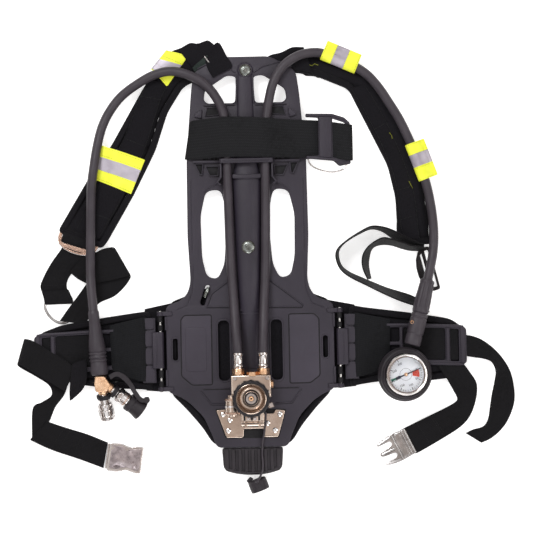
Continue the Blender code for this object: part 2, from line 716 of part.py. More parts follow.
# ---------------------------------------------------------------------- hoses
LEFT_HOSE_ROUTE = [(-17.5, -2.2, 42), (-18.5, 12, 42), (-20, 30, 39), (-22, 71, 29.5),
                   (-25, 127, CHANNEL_Z), (-26, 183, CHANNEL_Z), (-27, 239, CHANNEL_Z),
                   (-28, 302, CHANNEL_Z), (-30.5, 331, CHANNEL_Z), (-40, 354, CHANNEL_Z),
                   (-56, 374, 25.5), (-78, 387, 25.5), (-102, 393, 24.5), (-126, 389, 22),
                   (-150, 377, 18), (-174, 360, 14), (-191, 339, 13), (-202, 317, 15),
                   (-209, 291, 18), (-214, 262, 22), (-218, 234, 23), (-219.5, 205, 22),
                   (-221, 158, 21.5), (-222, 117, 22), (-221, 89, 26.5), (-218.5, 58.8, 31)]
RIGHT_HOSE_ROUTE = [(17.5, -2.2, 42), (18, 12, 42), (19, 30, 39), (21, 70, 29.5),
                    (23.5, 112, CHANNEL_Z), (25, 168, CHANNEL_Z), (26, 224, CHANNEL_Z),
                    (27, 301, CHANNEL_Z), (30, 330, CHANNEL_Z), (34, 352, CHANNEL_Z),
                    (39, 371, CHANNEL_Z), (47, 387, 25.3), (59, 401, 25), (78, 412, 23),
                    (101, 415.5, PAD_HOSE_Z + 0.6), (119, 411, PAD_HOSE_Z + 0.4),
                    (137, 403, PAD_HOSE_Z + 0.4), (155, 394.5, PAD_HOSE_Z + 0.3),
                    (173, 382, PAD_HOSE_Z + 0.1), (189, 363, PAD_HOSE_Z),
                    (203, 341, PAD_HOSE_Z), (216, 319, PAD_HOSE_Z), (228, 293, PAD_HOSE_Z),
                    (241, 261, PAD_HOSE_Z), (252, 227, PAD_HOSE_Z), (258.5, 192, PAD_HOSE_Z),
                    (261, 160, PAD_HOSE_Z + 0.5), (259.5, 134, 22), (255.5, 114, 26),
                    (250.6, 94, 29.5)]


def hoses(rubber):
    finish(tube("supply_hose", evenly_spaced(LEFT_HOSE_ROUTE, HOSE_SPACING), HOSE_RADIUS), rubber)
    finish(tube("gauge_hose", evenly_spaced(RIGHT_HOSE_ROUTE, HOSE_SPACING), HOSE_RADIUS), rubber)


def along(name, profile, start, end, steps=20):
    """A turned piece whose height 0 is at start and whose top points to end."""
    piece = turned(name, profile, steps)
    return place(piece, start, Vector(end) - Vector(start))


def hose_sleeves(rubber):
    supply = [(0, 88), (9.5, 88), (12.5, 85), (12.5, 70), (10.8, 68), (10.8, 55), (10.4, 51),
              (7.6, 3), (7.6, 0), (0, 0)]
    finish(along("supply_hose_sleeve", supply, (-218.4, 57.5, 31.1), (-211.5, -31, 31.1)), rubber)
    gauge = [(0, 46), (11.8, 46), (11.8, 40), (9.0, 6), (8.6, 0), (0, 0)]
    finish(along("gauge_hose_sleeve", gauge, (250.2, 92.6, 29.9), (238.4, 47, 32.4)), rubber)


def whistle(rubber):
    profile = [(0, 45), (11.0, 45), (12.6, 42), (12.6, 3), (11.5, 0), (0, 0)]
    return finish(along("whistle", profile, (237.9, 44.9, 32.5), (225.5, 0.5, 36.5)), rubber)


# ------------------------------------------------------------- quick couplings
def manifold(metal):
    """Brass piece that splits the supply between two quick couplings."""
    hub = turned("manifold", [(0, 8.5), (6, 6), (8.5, 0), (6, -6), (0, -8.5)], 16)
    place(hub, MANIFOLD_HUB)
    centre = Vector(MANIFOLD_HUB)
    fuse(hub, rod("manifold_inlet", 6.5, (-210.6, -33.0, 30.3), centre))
    for number, direction in enumerate((COUPLING_DIRECTION, BRANCH_DIRECTION)):
        outlet = centre + Vector(direction).normalized() * (COUPLING_OFFSET - GAP)
        fuse(hub, rod("manifold_outlet_" + str(number), 5.5, centre, outlet))
    return finish(hub, metal)


def couplings(metal, steel, rubber):
    def on_outlet(name, profile, direction, material, steps=20):
        way = Vector(direction).normalized()
        base = Vector(MANIFOLD_HUB) + way * COUPLING_OFFSET
        finish(along(name, profile, base, base + way, steps), material)

    body = [(0, 12), (4.6, 12), (4.6, 37), (7.8, 37), (7.8, 7), (6.5, 6), (6.5, 0), (0, 0)]
    on_outlet("supply_coupling", body, COUPLING_DIRECTION, metal)
    sleeve = [(8.1, 14.0), (8.1, 37.5), (10.2, 37.5), (11.2, 36), (11.2, 17), (9.6, 14.0)]
    on_outlet("coupling_sleeve", sleeve, COUPLING_DIRECTION, steel)
    poppet = [(0, 31), (2.6, 31), (4.2, 28), (4.2, 18), (0, 18)]
    on_outlet("coupling_poppet", poppet, COUPLING_DIRECTION, steel, 16)
    branch = [(0, 42), (7.5, 42), (7.5, 28), (9.8, 27), (9.8, 12), (6.5, 10), (6.5, 0), (0, 0)]
    on_outlet("branch_coupling", branch, BRANCH_DIRECTION, metal)
    cap = [(0, 53), (13.2, 53), (14.6, 50), (14.6, 29), (8.2, 29), (8.2, 43.5), (0, 43.5)]
    on_outlet("coupling_cap", cap, BRANCH_DIRECTION, rubber)


def cap_tether(rubber):
    edges = [((-197.5, -31, 34), (-194.5, -37, 34)), ((-187, -26, 33), (-187, -33, 33)),
             ((-175, -30, 32), (-179, -36, 32)), ((-165, -42, 31.5), (-171, -45, 31.5)),
             ((-158, -55, 32.5), (-164, -58, 32.5)), ((-150, -64, 33), (-154, -69, 33)),
             ((-143, -62, 31), (-145, -68, 31))]
    return finish(strap("cap_tether", edges, 1.6), rubber, False)


# ---------------------------------------------------------------------- gauge
def gauge(rubber, metal, dial, needle, glass):
    tilt = bpy.data.objects.new("gauge_axis", None)
    PARTS.objects.link(tilt)
    tilt.location = metres(GAUGE_BASE)
    tilt.rotation_euler = (0.0, math.radians(GAUGE_TILT), 0.0)
    boot = [(0, 5), (29.6, 5), (29.6, 30), (33, 32), (36.5, 29), (38, 21), (37.5, 12), (35, 4),
            (31, 0), (0, 0)]
    finish(turned("gauge_boot", boot, 32, tilt), rubber)
    case = [(0, 9), (24, 9), (24, 24), (25.8, 24), (25.8, 33), (24.2, 34.5), (24.2, 36),
            (26.5, 37.2), (29.2, 35), (29.2, 5.4), (0, 5.4)]
    finish(turned("gauge_case", case, 32, tilt), metal)
    face = [(1.2, 25.4), (25.4, 25.4), (25.4, 24.4), (1.2, 24.4)]
    finish(turned("gauge_dial", face, 32, tilt), dial)
    lens = [(0, 33.6), (18, 33.2), (25.4, 32.2), (25.4, 31.0), (0, 31.0)]
    finish(turned("gauge_lens", lens, 32, tilt), glass)
    pointer = slab("gauge_needle", [(-15, -1.6), (-9, -2.2), (-8, -0.9), (21, -0.4), (21, 0.4),
                                    (-8, 0.9), (-9, 2.2), (-15, 1.6)], 26.6, 27.4)
    pointer.parent = tilt
    pointer.rotation_euler = (0.0, 0.0, math.radians(22))
    hub = turned("needle_hub", [(0, 28.6), (2.2, 28.4), (2.4, 26.4), (0.8, 26.2), (0.8, 18),
                                (0, 18)], 12, tilt)
    fuse(pointer, hub)
    finish(pointer, needle)


def build():
    finishes = {name: make_material(name) for name in FINISHES}
    plastic = finishes["plate_plastic"]
    fabric = finishes["pad_fabric"]
    webbing = finishes["webbing"]
    chrome = finishes["chrome"]
    steel = finishes["steel"]
    brass = finishes["brass"]
    hose_rubber = finishes["hose_rubber"]
    black_rubber = finishes["black_rubber"]

    backplate(plastic)
    hinge_pins(steel)
    bumper_foot(black_rubber)
    lumbar_pad(fabric)

    shoulder_pads(fabric)
    reflective_bands(finishes["reflective_tape"])
    slider_buckle("left_slider_buckle", brass, (-238, 152), -23, 7.5)
    slider_buckle("right_slider_buckle", brass, (251, 107), -76, 1.0)
    left_pull_strap(webbing)
    left_lower_webbing(webbing)
    right_lower_webbing(webbing)
    right_pull_strap(webbing)
    pull_ring(chrome)

    wing_plate(-1, "left_wing_plate", plastic)
    wing_plate(1, "right_wing_plate", plastic)
    belt_frame(-1, "left_belt_frame", plastic)
    belt_frame(1, "right_belt_frame", plastic)
    wing_pads(fabric)
    left_belt_strap(webbing)
    right_belt_strap(webbing)
    belt_tail(webbing)
    female_buckle(chrome)
    male_buckle(chrome)

    cylinder_strap(webbing)
    strap_lever(plastic)
    strap_bail(steel)

    reducer_bracket(chrome)
    reducer_body(brass)
    reducer_piston(brass)
    reducer_spring(steel)
    hose_ferrule("supply_ferrule", chrome, -1)
    hose_ferrule("gauge_ferrule", chrome, 1)
    handwheel(black_rubber)
    connector(chrome)
    relief_valve(chrome)
    lanyard(black_rubber)
    dust_cap(black_rubber)

    hoses(hose_rubber)
    hose_sleeves(hose_rubber)
    whistle(hose_rubber)
    manifold(brass)
    couplings(chrome, steel, black_rubber)
    cap_tether(black_rubber)
    gauge(black_rubber, chrome, finishes["dial_white"], finishes["needle_black"],
          finishes["glass"])


build()
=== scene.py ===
"""The looks of a breathing apparatus carrying set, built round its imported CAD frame.

Lengths in the shape code are millimetres in the frame's own axes: +X to the right seen
from the cylinder side, +Y up the backplate, +Z away from the wearer.
"""
import math

import bmesh
import bpy
from mathutils import Matrix, Vector, noise


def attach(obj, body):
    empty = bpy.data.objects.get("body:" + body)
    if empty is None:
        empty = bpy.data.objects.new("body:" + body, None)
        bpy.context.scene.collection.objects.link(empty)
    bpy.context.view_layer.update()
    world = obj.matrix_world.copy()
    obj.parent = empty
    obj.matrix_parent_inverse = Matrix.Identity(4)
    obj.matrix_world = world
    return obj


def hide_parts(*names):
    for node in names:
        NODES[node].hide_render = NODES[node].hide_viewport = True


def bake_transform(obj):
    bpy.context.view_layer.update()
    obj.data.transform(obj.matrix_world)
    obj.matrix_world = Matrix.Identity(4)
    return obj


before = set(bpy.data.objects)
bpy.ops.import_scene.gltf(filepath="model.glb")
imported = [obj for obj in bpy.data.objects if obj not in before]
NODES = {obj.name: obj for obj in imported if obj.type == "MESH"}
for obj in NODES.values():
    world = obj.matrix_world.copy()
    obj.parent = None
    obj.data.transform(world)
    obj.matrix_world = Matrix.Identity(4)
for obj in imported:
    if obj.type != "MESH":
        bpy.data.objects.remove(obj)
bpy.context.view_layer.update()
SCENE = bpy.context.scene
MM = 0.001
UP = (0, 0, 1)
PLATE_TOP = 18.3
PAD_TOP = 13.0
HINGE_X, HINGE_Z = 126.0, 18.0
HOSE_RADIUS = 6.5
LANYARD_RADIUS = 1.5
CHANNEL_Z = PLATE_TOP + 0.8 + HOSE_RADIUS
PAD_HOSE_Z = PAD_TOP + 0.3 + HOSE_RADIUS


# ---------------------------------------------------------------- camera and light
def camera_over(centre, roll, distance, lens):
    data = bpy.data.cameras.new("camera")
    data.lens = lens
    data.sensor_width = 36.0
    data.clip_end = 20.0
    camera = bpy.data.objects.new("camera", data)
    SCENE.collection.objects.link(camera)
    camera.location = (centre[0] * MM, centre[1] * MM, (centre[2] + distance) * MM)
    camera.rotation_euler = (0.0, 0.0, math.radians(roll))
    SCENE.camera = camera


def area_light(name, location, target, size, power, colour=(1.0, 1.0, 1.0)):
    data = bpy.data.lights.new(name, "AREA")
    data.shape = "RECTANGLE"
    data.size, data.size_y = size
    data.energy = power
    data.color = colour
    lamp = bpy.data.objects.new(name, data)
    SCENE.collection.objects.link(lamp)
    lamp.location = location
    lamp.rotation_euler = (Vector(target) - Vector(location)).to_track_quat("-Z", "Y").to_euler()


camera_over((25.1, 116.4, 30.0), -1.26, 3109.0, 150.0)
area_light("key", (-0.9, 1.5, 2.2), (0.0, 0.1, 0.0), (0.8, 0.8), 34.0)
area_light("fill", (1.7, -0.3, 1.8), (0.0, 0.1, 0.0), (0.9, 0.9), 12.0, (1.0, 0.97, 0.95))
area_light("front", (0.1, -1.7, 1.3), (0.0, 0.0, 0.0), (1.2, 0.4), 9.0, (0.97, 0.98, 1.0))


# ---------------------------------------------------------------------- materials
def node(tree, kind, inputs=(), **settings):
    """A shader node whose inputs are links or plain values."""
    made = tree.nodes.new(kind)
    for key, value in settings.items():
        setattr(made, key, value)
    for socket, value in dict(inputs).items():
        if isinstance(value, bpy.types.NodeSocket):
            tree.links.new(value, made.inputs[socket])
        else:
            made.inputs[socket].default_value = value
    return made


def maths(tree, operation, first, second=0.0):
    """The output of a maths node."""
    return node(tree, "ShaderNodeMath", {0: first, 1: second}, operation=operation).outputs[0]


def spread(tree, value, low, high):
    """The value from 0 to 1 moved to low to high."""
    made = node(tree, "ShaderNodeMapRange", {"Value": value, "To Min": low, "To Max": high})
    return made.outputs["Result"]


def noise_value(tree, place, scale, detail=3.0, low=0.3, high=0.7):
    """Noise whose stretch from low to high is spread over 0 to 1."""
    raw = node(tree, "ShaderNodeTexNoise", {"Vector": place, "Scale": scale, "Detail": detail})
    made = node(tree, "ShaderNodeMapRange",
                {"Value": raw.outputs["Fac"], "From Min": low, "From Max": high})
    return made.outputs["Result"]


def blend_colours(tree, factor, first, second):
    colours = [value if isinstance(value, bpy.types.NodeSocket) else tuple(value) + (1.0,)
               for value in (first, second)]
    made = node(tree, "ShaderNodeMix", {0: factor, 6: colours[0], 7: colours[1]},
                data_type="RGBA")
    return made.outputs[2]


def bumped(tree, shader, height, distance):
    bump = node(tree, "ShaderNodeBump",
                {"Height": height, "Distance": distance, "Strength": 1.0})
    tree.links.new(bump.outputs["Normal"], shader.inputs["Normal"])


def start_material(name, rough=0.5, metallic=0.0, **more):
    material = bpy.data.materials.new(name)
    material.use_nodes = True
    tree = material.node_tree
    shader = tree.nodes["Principled BSDF"]
    shader.inputs["Roughness"].default_value = rough
    shader.inputs["Metallic"].default_value = metallic
    shader.inputs["Specular IOR Level"].default_value = 0.3
    for key, value in more.items():
        shader.inputs[key.replace("_", " ")].default_value = value
    return material, tree, shader


def mottled(name, dark, light, rough, blotch, grain, depth, metallic=0.0, scratches=0.0, **more):
    """A surface with slow colour changes, uneven gloss and fine grain."""
    material, tree, shader = start_material(name, rough[0], metallic, **more)
    place = node(tree, "ShaderNodeTexCoord").outputs["Object"]
    slow = noise_value(tree, place, blotch, 4.0)
    tree.links.new(blend_colours(tree, slow, dark, light), shader.inputs["Base Color"])
    gloss = noise_value(tree, place, blotch * 3.1, 5.0)
    tree.links.new(spread(tree, gloss, rough[0], rough[1]), shader.inputs["Roughness"])
    fine = noise_value(tree, place, grain, 2.0)
    if scratches:
        long = node(tree, "ShaderNodeMapping", {"Vector": place, "Scale": (1.0, 14.0, 5.0)})
        lines = noise_value(tree, long.outputs[0], scratches, 3.0, 0.4, 0.6)
        fine = maths(tree, "ADD", fine, lines)
    bumped(tree, shader, fine, depth)
    return material


def woven(name, dark, light, rough, pitch, column, twill=False):
    """Webbing whose weave follows the strap's own length and width."""
    material, tree, shader = start_material(name, rough, Sheen_Weight=0.04, Sheen_Roughness=0.5,
                                            Specular_IOR_Level=0.12)
    flat = node(tree, "ShaderNodeSeparateXYZ",
                {"Vector": node(tree, "ShaderNodeTexCoord").outputs["UV"]})
    across, along = flat.outputs["X"], flat.outputs["Y"]
    shift = across if twill else maths(tree, "PINGPONG", across, column)
    slanted = maths(tree, "ADD", along, shift)
    threads = maths(tree, "SINE", maths(tree, "MULTIPLY", slanted, 2 * math.pi / pitch))
    cords = maths(tree, "SINE", maths(tree, "MULTIPLY", across, 2 * math.pi / (pitch * 1.3)))
    height = spread(tree, maths(tree, "ADD", threads, maths(tree, "MULTIPLY", cords, 0.6)),
                    0.35, 0.85)
    place = node(tree, "ShaderNodeTexCoord").outputs["Object"]
    fuzz = noise_value(tree, place, 260.0, 4.0)
    worn = noise_value(tree, place, 22.0, 3.0)
    # The colour follows the weave's height, darker in the valleys between threads: painted shade,
    # mixed with the fuzz and worn noise.
    share = maths(tree, "MULTIPLY", height, spread(tree, maths(tree, "ADD", fuzz, worn), 0.1, 0.75))
    tree.links.new(blend_colours(tree, share, dark, light), shader.inputs["Base Color"])
    bumped(tree, shader, maths(tree, "ADD", height, maths(tree, "MULTIPLY", fuzz, 0.5)), 0.00035)
    return material


def cloth(name, dark, light, rough, pitch):
    """Woven cover fabric whose threads run along the frame's X and Y."""
    material, tree, shader = start_material(name, rough, Sheen_Weight=0.06, Sheen_Roughness=0.45,
                                            Specular_IOR_Level=0.12)
    place = node(tree, "ShaderNodeTexCoord").outputs["Object"]
    spot = node(tree, "ShaderNodeSeparateXYZ", {"Vector": place})
    turn = 2 * math.pi / pitch
    warp = maths(tree, "SINE", maths(tree, "MULTIPLY", spot.outputs["X"], turn))
    weft = maths(tree, "SINE", maths(tree, "MULTIPLY", spot.outputs["Y"], turn))
    height = spread(tree, maths(tree, "MULTIPLY", warp, weft), 0.5, 1.0)
    fuzz = noise_value(tree, place, 420.0, 3.0)
    worn = noise_value(tree, place, 14.0, 4.0)
    # The colour follows the weave's height, darker in the valleys between threads: painted shade,
    # mixed with the fuzz and worn noise.
    share = maths(tree, "MULTIPLY", height, spread(tree, maths(tree, "ADD", fuzz, worn), 0.1, 0.7))
    tree.links.new(blend_colours(tree, share, dark, light), shader.inputs["Base Color"])
    bumped(tree, shader, maths(tree, "ADD", height, fuzz), 0.0003)
    return material


def tape(name, width):
    """Lime tape with a silver stripe along its middle; the lime parts glow faintly, a painted glow.
    """
    material, tree, shader = start_material(name, 0.55)
    flat = node(tree, "ShaderNodeSeparateXYZ",
                {"Vector": node(tree, "ShaderNodeTexCoord").outputs["UV"]})
    across = maths(tree, "DIVIDE", flat.outputs["X"], width * MM)
    centre = maths(tree, "ABSOLUTE", maths(tree, "SUBTRACT", across, 0.48))
    stripe = maths(tree, "LESS_THAN", centre, 0.175)
    place = node(tree, "ShaderNodeTexCoord").outputs["Object"]
    grime = noise_value(tree, place, 45.0, 5.0)
    lime = blend_colours(tree, grime, (0.70, 0.74, 0.035), (0.86, 0.92, 0.075))
    silver = blend_colours(tree, grime, (0.33, 0.30, 0.35), (0.50, 0.47, 0.53))
    tree.links.new(blend_colours(tree, stripe, lime, silver), shader.inputs["Base Color"])
    tree.links.new(spread(tree, stripe, 0.6, 0.35), shader.inputs["Roughness"])
    tree.links.new(maths(tree, "MULTIPLY", stripe, 0.25), shader.inputs["Metallic"])
    # The lime parts glow faintly: painted glow.
    tree.links.new(blend_colours(tree, stripe, (0.9, 0.95, 0.05), (0.0, 0.0, 0.0)),
                   shader.inputs["Emission Color"])
    shader.inputs["Emission Strength"].default_value = 0.06
    threads = node(tree, "ShaderNodeTexVoronoi", {"Vector": place, "Scale": 900.0})
    bumped(tree, shader, threads.outputs["Distance"], 0.00012)
    return material


def glass():
    """The gauge's lens, slightly smeared."""
    material, tree, shader = start_material("gauge_glass", 0.02, Transmission_Weight=1.0, IOR=1.2)
    place = node(tree, "ShaderNodeTexCoord").outputs["Object"]
    smear = noise_value(tree, place, 60.0, 3.0)
    tree.links.new(spread(tree, smear, 0.0, 0.04), shader.inputs["Roughness"])
    shader.inputs["Base Color"].default_value = (0.98, 0.99, 1.0, 1.0)
    return material


PLASTIC = mottled("plate_plastic_look", (0.020, 0.0165, 0.025), (0.029, 0.024, 0.0355),
                  (0.38, 0.50), 16.0, 1500.0, 0.00010)
PLASTIC_LABEL = mottled("plate_label_look", (0.029, 0.024, 0.035), (0.041, 0.035, 0.050),
                        (0.40, 0.52), 14.0, 1700.0, 0.00006)
# Near-black that stands in for shade: painted shade in the plate's grooves, pockets and gaps, in
# slots and in a bore.
PAINTED_SHADE_BLACK = mottled("painted_shade_black_look", (0.003, 0.003, 0.004), (0.007, 0.006, 0.008),
                       (0.6, 0.8), 40.0, 1200.0, 0.00008)
HOSE = mottled("hose_look", (0.032, 0.027, 0.034), (0.048, 0.041, 0.050), (0.38, 0.52), 30.0,
               900.0, 0.00012)
RUBBER = mottled("rubber_look", (0.014, 0.0115, 0.0145), (0.023, 0.019, 0.024), (0.40, 0.58), 35.0,
                 1100.0, 0.00010)
RUBBER_BLACK = mottled("black_rubber_look", (0.006, 0.005, 0.007), (0.014, 0.012, 0.015),
                       (0.35, 0.55), 50.0, 1300.0, 0.00010)
CORDURA = cloth("cordura_look", (0.0030, 0.0028, 0.0038), (0.0125, 0.0112, 0.0150), 0.85, 0.0014)
BINDING = woven("binding_look", (0.0030, 0.0028, 0.0038), (0.0130, 0.0115, 0.0155), 0.8, 0.0011,
                0.003)
WEBBING = woven("webbing_look", (0.0024, 0.0023, 0.0029), (0.0108, 0.0102, 0.0124), 0.72, 0.0017,
                0.0062)
BAND_WEAVE = woven("cylinder_band_look", (0.0042, 0.0043, 0.0050), (0.0205, 0.0208, 0.0235), 0.75,
                   0.0030, 0.01, twill=True)
ELASTIC = woven("elastic_look", (0.0034, 0.0036, 0.0044), (0.0155, 0.0160, 0.0185), 0.8, 0.0022,
                0.0011)
GREY_TAPE = woven("grey_tape_look", (0.012, 0.017, 0.016), (0.040, 0.054, 0.048), 0.8, 0.0018,
                  0.004)
LIME = tape("reflective_look", 52.0)
THREAD = mottled("thread_look", (0.0015, 0.0015, 0.0020), (0.005, 0.005, 0.006), (0.6, 0.8), 90.0,
                 2500.0, 0.00005)
THREAD_LIME = mottled("lime_thread_look", (0.16, 0.17, 0.01), (0.34, 0.36, 0.03), (0.6, 0.8),
                      90.0, 2500.0, 0.00005)
CHROME = mottled("chrome_look", (0.55, 0.52, 0.51), (0.78, 0.75, 0.74), (0.13, 0.21), 60.0,
                 700.0, 0.000003, 1.0, 300.0)
STEEL = mottled("steel_look", (0.34, 0.33, 0.32), (0.56, 0.55, 0.54), (0.18, 0.32), 90.0, 1800.0,
                0.00002, 1.0, 1200.0)
NICKEL = mottled("nickel_brass_look", (0.50, 0.40, 0.33), (0.73, 0.62, 0.54), (0.17, 0.27), 30.0,
                 700.0, 0.000003, 1.0, 300.0)
BRASS = mottled("brass_look", (0.62, 0.36, 0.20), (0.90, 0.62, 0.42), (0.22, 0.36), 70.0, 1800.0,
                0.00003, 1.0, 900.0)
COPPER = mottled("copper_look", (0.40, 0.26, 0.20), (0.62, 0.44, 0.35), (0.18, 0.32), 70.0,
                 1500.0, 0.00003, 1.0, 800.0)
CAST = mottled("cast_look", (0.22, 0.19, 0.20), (0.46, 0.40, 0.41), (0.25, 0.42), 150.0, 420.0,
               0.00018, 1.0)
BUCKLE_STEEL = mottled("buckle_steel_look", (0.34, 0.33, 0.33), (0.64, 0.63, 0.63), (0.12, 0.24),
                       60.0, 700.0, 0.000003, 1.0, 300.0)
# Near-black metal: painted shade on the right slider, which lies under the hose.
STEEL_PAINTED_SHADE = mottled("steel_painted_shade_look", (0.010, 0.009, 0.010), (0.030, 0.026, 0.028),
                     (0.35, 0.5), 90.0, 1200.0, 0.00003, 0.6)
PIN_STEEL = mottled("rivet_look", (0.08, 0.088, 0.08), (0.27, 0.285, 0.27), (0.16, 0.34), 130.0,
                    500.0, 0.00012, 1.0)
DIAL = mottled("dial_look", (0.80, 0.82, 0.86), (0.90, 0.91, 0.94), (0.45, 0.55), 60.0, 1500.0,
               0.00001)
INK = mottled("ink_look", (0.012, 0.014, 0.03), (0.03, 0.035, 0.06), (0.4, 0.5), 200.0, 2500.0,
              0.00001)
INK_RED = mottled("red_ink_look", (0.62, 0.05, 0.03), (0.78, 0.11, 0.06), (0.4, 0.5), 150.0,
                  2500.0, 0.00001)
INK_GREEN = mottled("green_ink_look", (0.01, 0.10, 0.07), (0.02, 0.22, 0.15), (0.4, 0.5), 150.0,
                    2500.0, 0.00001)
GLASS = glass()
FLOOR = mottled("floor_look", (0.84, 0.84, 0.84), (0.88, 0.88, 0.88), (0.85, 0.95), 2.0, 300.0,
                0.00002, Emission_Color=(1.0, 1.0, 1.0, 1.0), Emission_Strength=0.58)


# ------------------------------------------------------------------ shape helpers
def catmull_rom(points, steps):
    """A smooth line through the points."""
    knots = [Vector(point) for point in points]
    knots = [knots[0] * 2 - knots[1]] + knots + [knots[-1] * 2 - knots[-2]]
    run = []
    for index in range(1, len(knots) - 2):
        before, start, end, after = knots[index - 1:index + 3]
        for step in range(steps):
            t = step / steps
            run.append(0.5 * ((2 * start) + (end - before) * t
                              + (2 * before - 5 * start + 4 * end - after) * t ** 2
                              + (3 * start - before - 3 * end + after) * t ** 3))
    run.append(knots[-2])
    return run


def evenly_spaced(points, spacing, smooth=True):
    """Points at equal steps along the line."""
    fine = catmull_rom(points, 16) if smooth else [Vector(point) for point in points]
    lengths = [0.0]
    for before, after in zip(fine, fine[1:]):
        lengths.append(lengths[-1] + (after - before).length)
    count = max(2, round(lengths[-1] / spacing))
    spaced = []
    at = 0
    for index in range(count + 1):
        wanted = lengths[-1] * index / count
        while at < len(fine) - 2 and lengths[at + 1] < wanted:
            at += 1
        share = (wanted - lengths[at]) / max(lengths[at + 1] - lengths[at], 1e-9)
        spaced.append(fine[at].lerp(fine[at + 1], min(share, 1.0)))
    return spaced


def rounded(points, radius, steps=4):
    """The outline with its corners rounded."""
    outline = []
    count = len(points)
    for index in range(count):
        corner = Vector(points[index][:2])
        before = Vector(points[index - 1][:2]) - corner
        after = Vector(points[(index + 1) % count][:2]) - corner
        reach = min(radius, before.length * 0.48, after.length * 0.48)
        start = corner + before.normalized() * reach
        end = corner + after.normalized() * reach
        for step in range(steps + 1):
            t = step / steps
            outline.append(start * (1 - t) ** 2 + corner * 2 * t * (1 - t) + end * t ** 2)
    return outline


def mirrored(points):
    """The same points on the other side of the backplate's middle."""
    return [(-point[0],) + tuple(point[1:]) for point in reversed(points)]


def area_of(outline):
    """The outline's area, positive if it runs anticlockwise."""
    total = 0.0
    for index, point in enumerate(outline):
        before = outline[index - 1]
        total += before[0] * point[1] - point[0] * before[1]
    return total / 2


def add_object(name, mesh):
    piece = bpy.data.objects.new(name, mesh)
    SCENE.collection.objects.link(piece)
    return piece


def baked(piece):
    """The mesh that an object shows; the object itself is removed."""
    bpy.context.view_layer.update()
    graph = bpy.context.evaluated_depsgraph_get()
    mesh = bpy.data.meshes.new_from_object(piece.evaluated_get(graph))
    bpy.data.objects.remove(piece, do_unlink=True)
    return mesh


def edit_mesh(mesh, change):
    """Lets a function change the mesh through bmesh."""
    shape = bmesh.new()
    shape.from_mesh(mesh)
    change(shape)
    shape.to_mesh(mesh)
    shape.free()


def finish_mesh(mesh, smooth=True, sharp=38.0):
    edit_mesh(mesh, lambda shape: bmesh.ops.recalc_face_normals(shape, faces=shape.faces))
    if smooth:
        mesh.shade_smooth()
        mesh.set_sharp_from_angle(angle=math.radians(sharp))


def mesh_piece(name, corners, faces, uvs=None, smooth=True, sharp=38.0):
    mesh = bpy.data.meshes.new(name)
    mesh.from_pydata([Vector(corner) * MM for corner in corners], [], faces)
    if uvs:
        layer = mesh.uv_layers.new(name="UVMap")
        for loop in mesh.loops:
            layer.data[loop.index].uv = [value * MM for value in uvs[loop.vertex_index]]
    finish_mesh(mesh, smooth, sharp)
    return add_object(name, mesh)


def panel(name, outline, low, high, bevel=0.6, holes=(), segments=2):
    """A flat outline with holes and rounded edges, from low to high."""
    curve = bpy.data.curves.new(name, "CURVE")
    curve.dimensions = "2D"
    curve.fill_mode = "BOTH"
    bevel = min(bevel, (high - low) * 0.45)
    curve.extrude = ((high - low) / 2 - bevel) * MM
    curve.bevel_depth = bevel * MM
    curve.bevel_resolution = segments
    curve.offset = -bevel * MM
    for number, loop in enumerate([outline] + list(holes)):
        points = list(loop)
        if (area_of(points) > 0) == (number == 0):
            points.reverse()
        spline = curve.splines.new("POLY")
        spline.points.add(len(points) - 1)
        for point, corner in zip(spline.points, points):
            point.co = (corner[0] * MM, corner[1] * MM, 0.0, 1.0)
        spline.use_cyclic_u = True
    mesh = baked(add_object(name + "_curve", curve))
    mesh.transform(Matrix.Translation((0.0, 0.0, (low + high) / 2 * MM)))
    edit_mesh(mesh, lambda shape: bmesh.ops.remove_doubles(shape, verts=shape.verts,
                                                           dist=0.000005))
    finish_mesh(mesh)
    return add_object(name, mesh)


def rib_outline(points, width):
    """The outline of a strip of that width along the points."""
    line = [Vector(point[:2]) for point in points]
    left, right = [], []
    for index, point in enumerate(line):
        before = line[max(index - 1, 0)]
        after = line[min(index + 1, len(line) - 1)]
        way = (after - before).normalized()
        side = Vector((-way.y, way.x)) * width / 2
        left.append(point + side)
        right.append(point - side)
    return left + right[::-1]


def rib(name, points, width, low, high, bevel=0.5):
    return panel(name, rib_outline(points, width), low, high, bevel)


def grown(outline, amount):
    """The outline moved outwards by the amount, or inwards if it is negative."""
    points = [Vector(point[:2]) for point in outline]
    sign = 1.0 if area_of(points) > 0 else -1.0
    moved = []
    for index, point in enumerate(points):
        before = point - points[index - 1]
        after = points[(index + 1) % len(points)] - point
        way = before.normalized() + after.normalized()
        if way.length < 1e-6:
            way = after
        way.normalize()
        moved.append(point + Vector((way.y, -way.x)) * amount * sign)
    return moved


def ring_panel(name, outline, width, low, high):
    """A raised line that follows a closed outline."""
    return panel(name, grown(outline, width), low, high, 0.4, [outline])


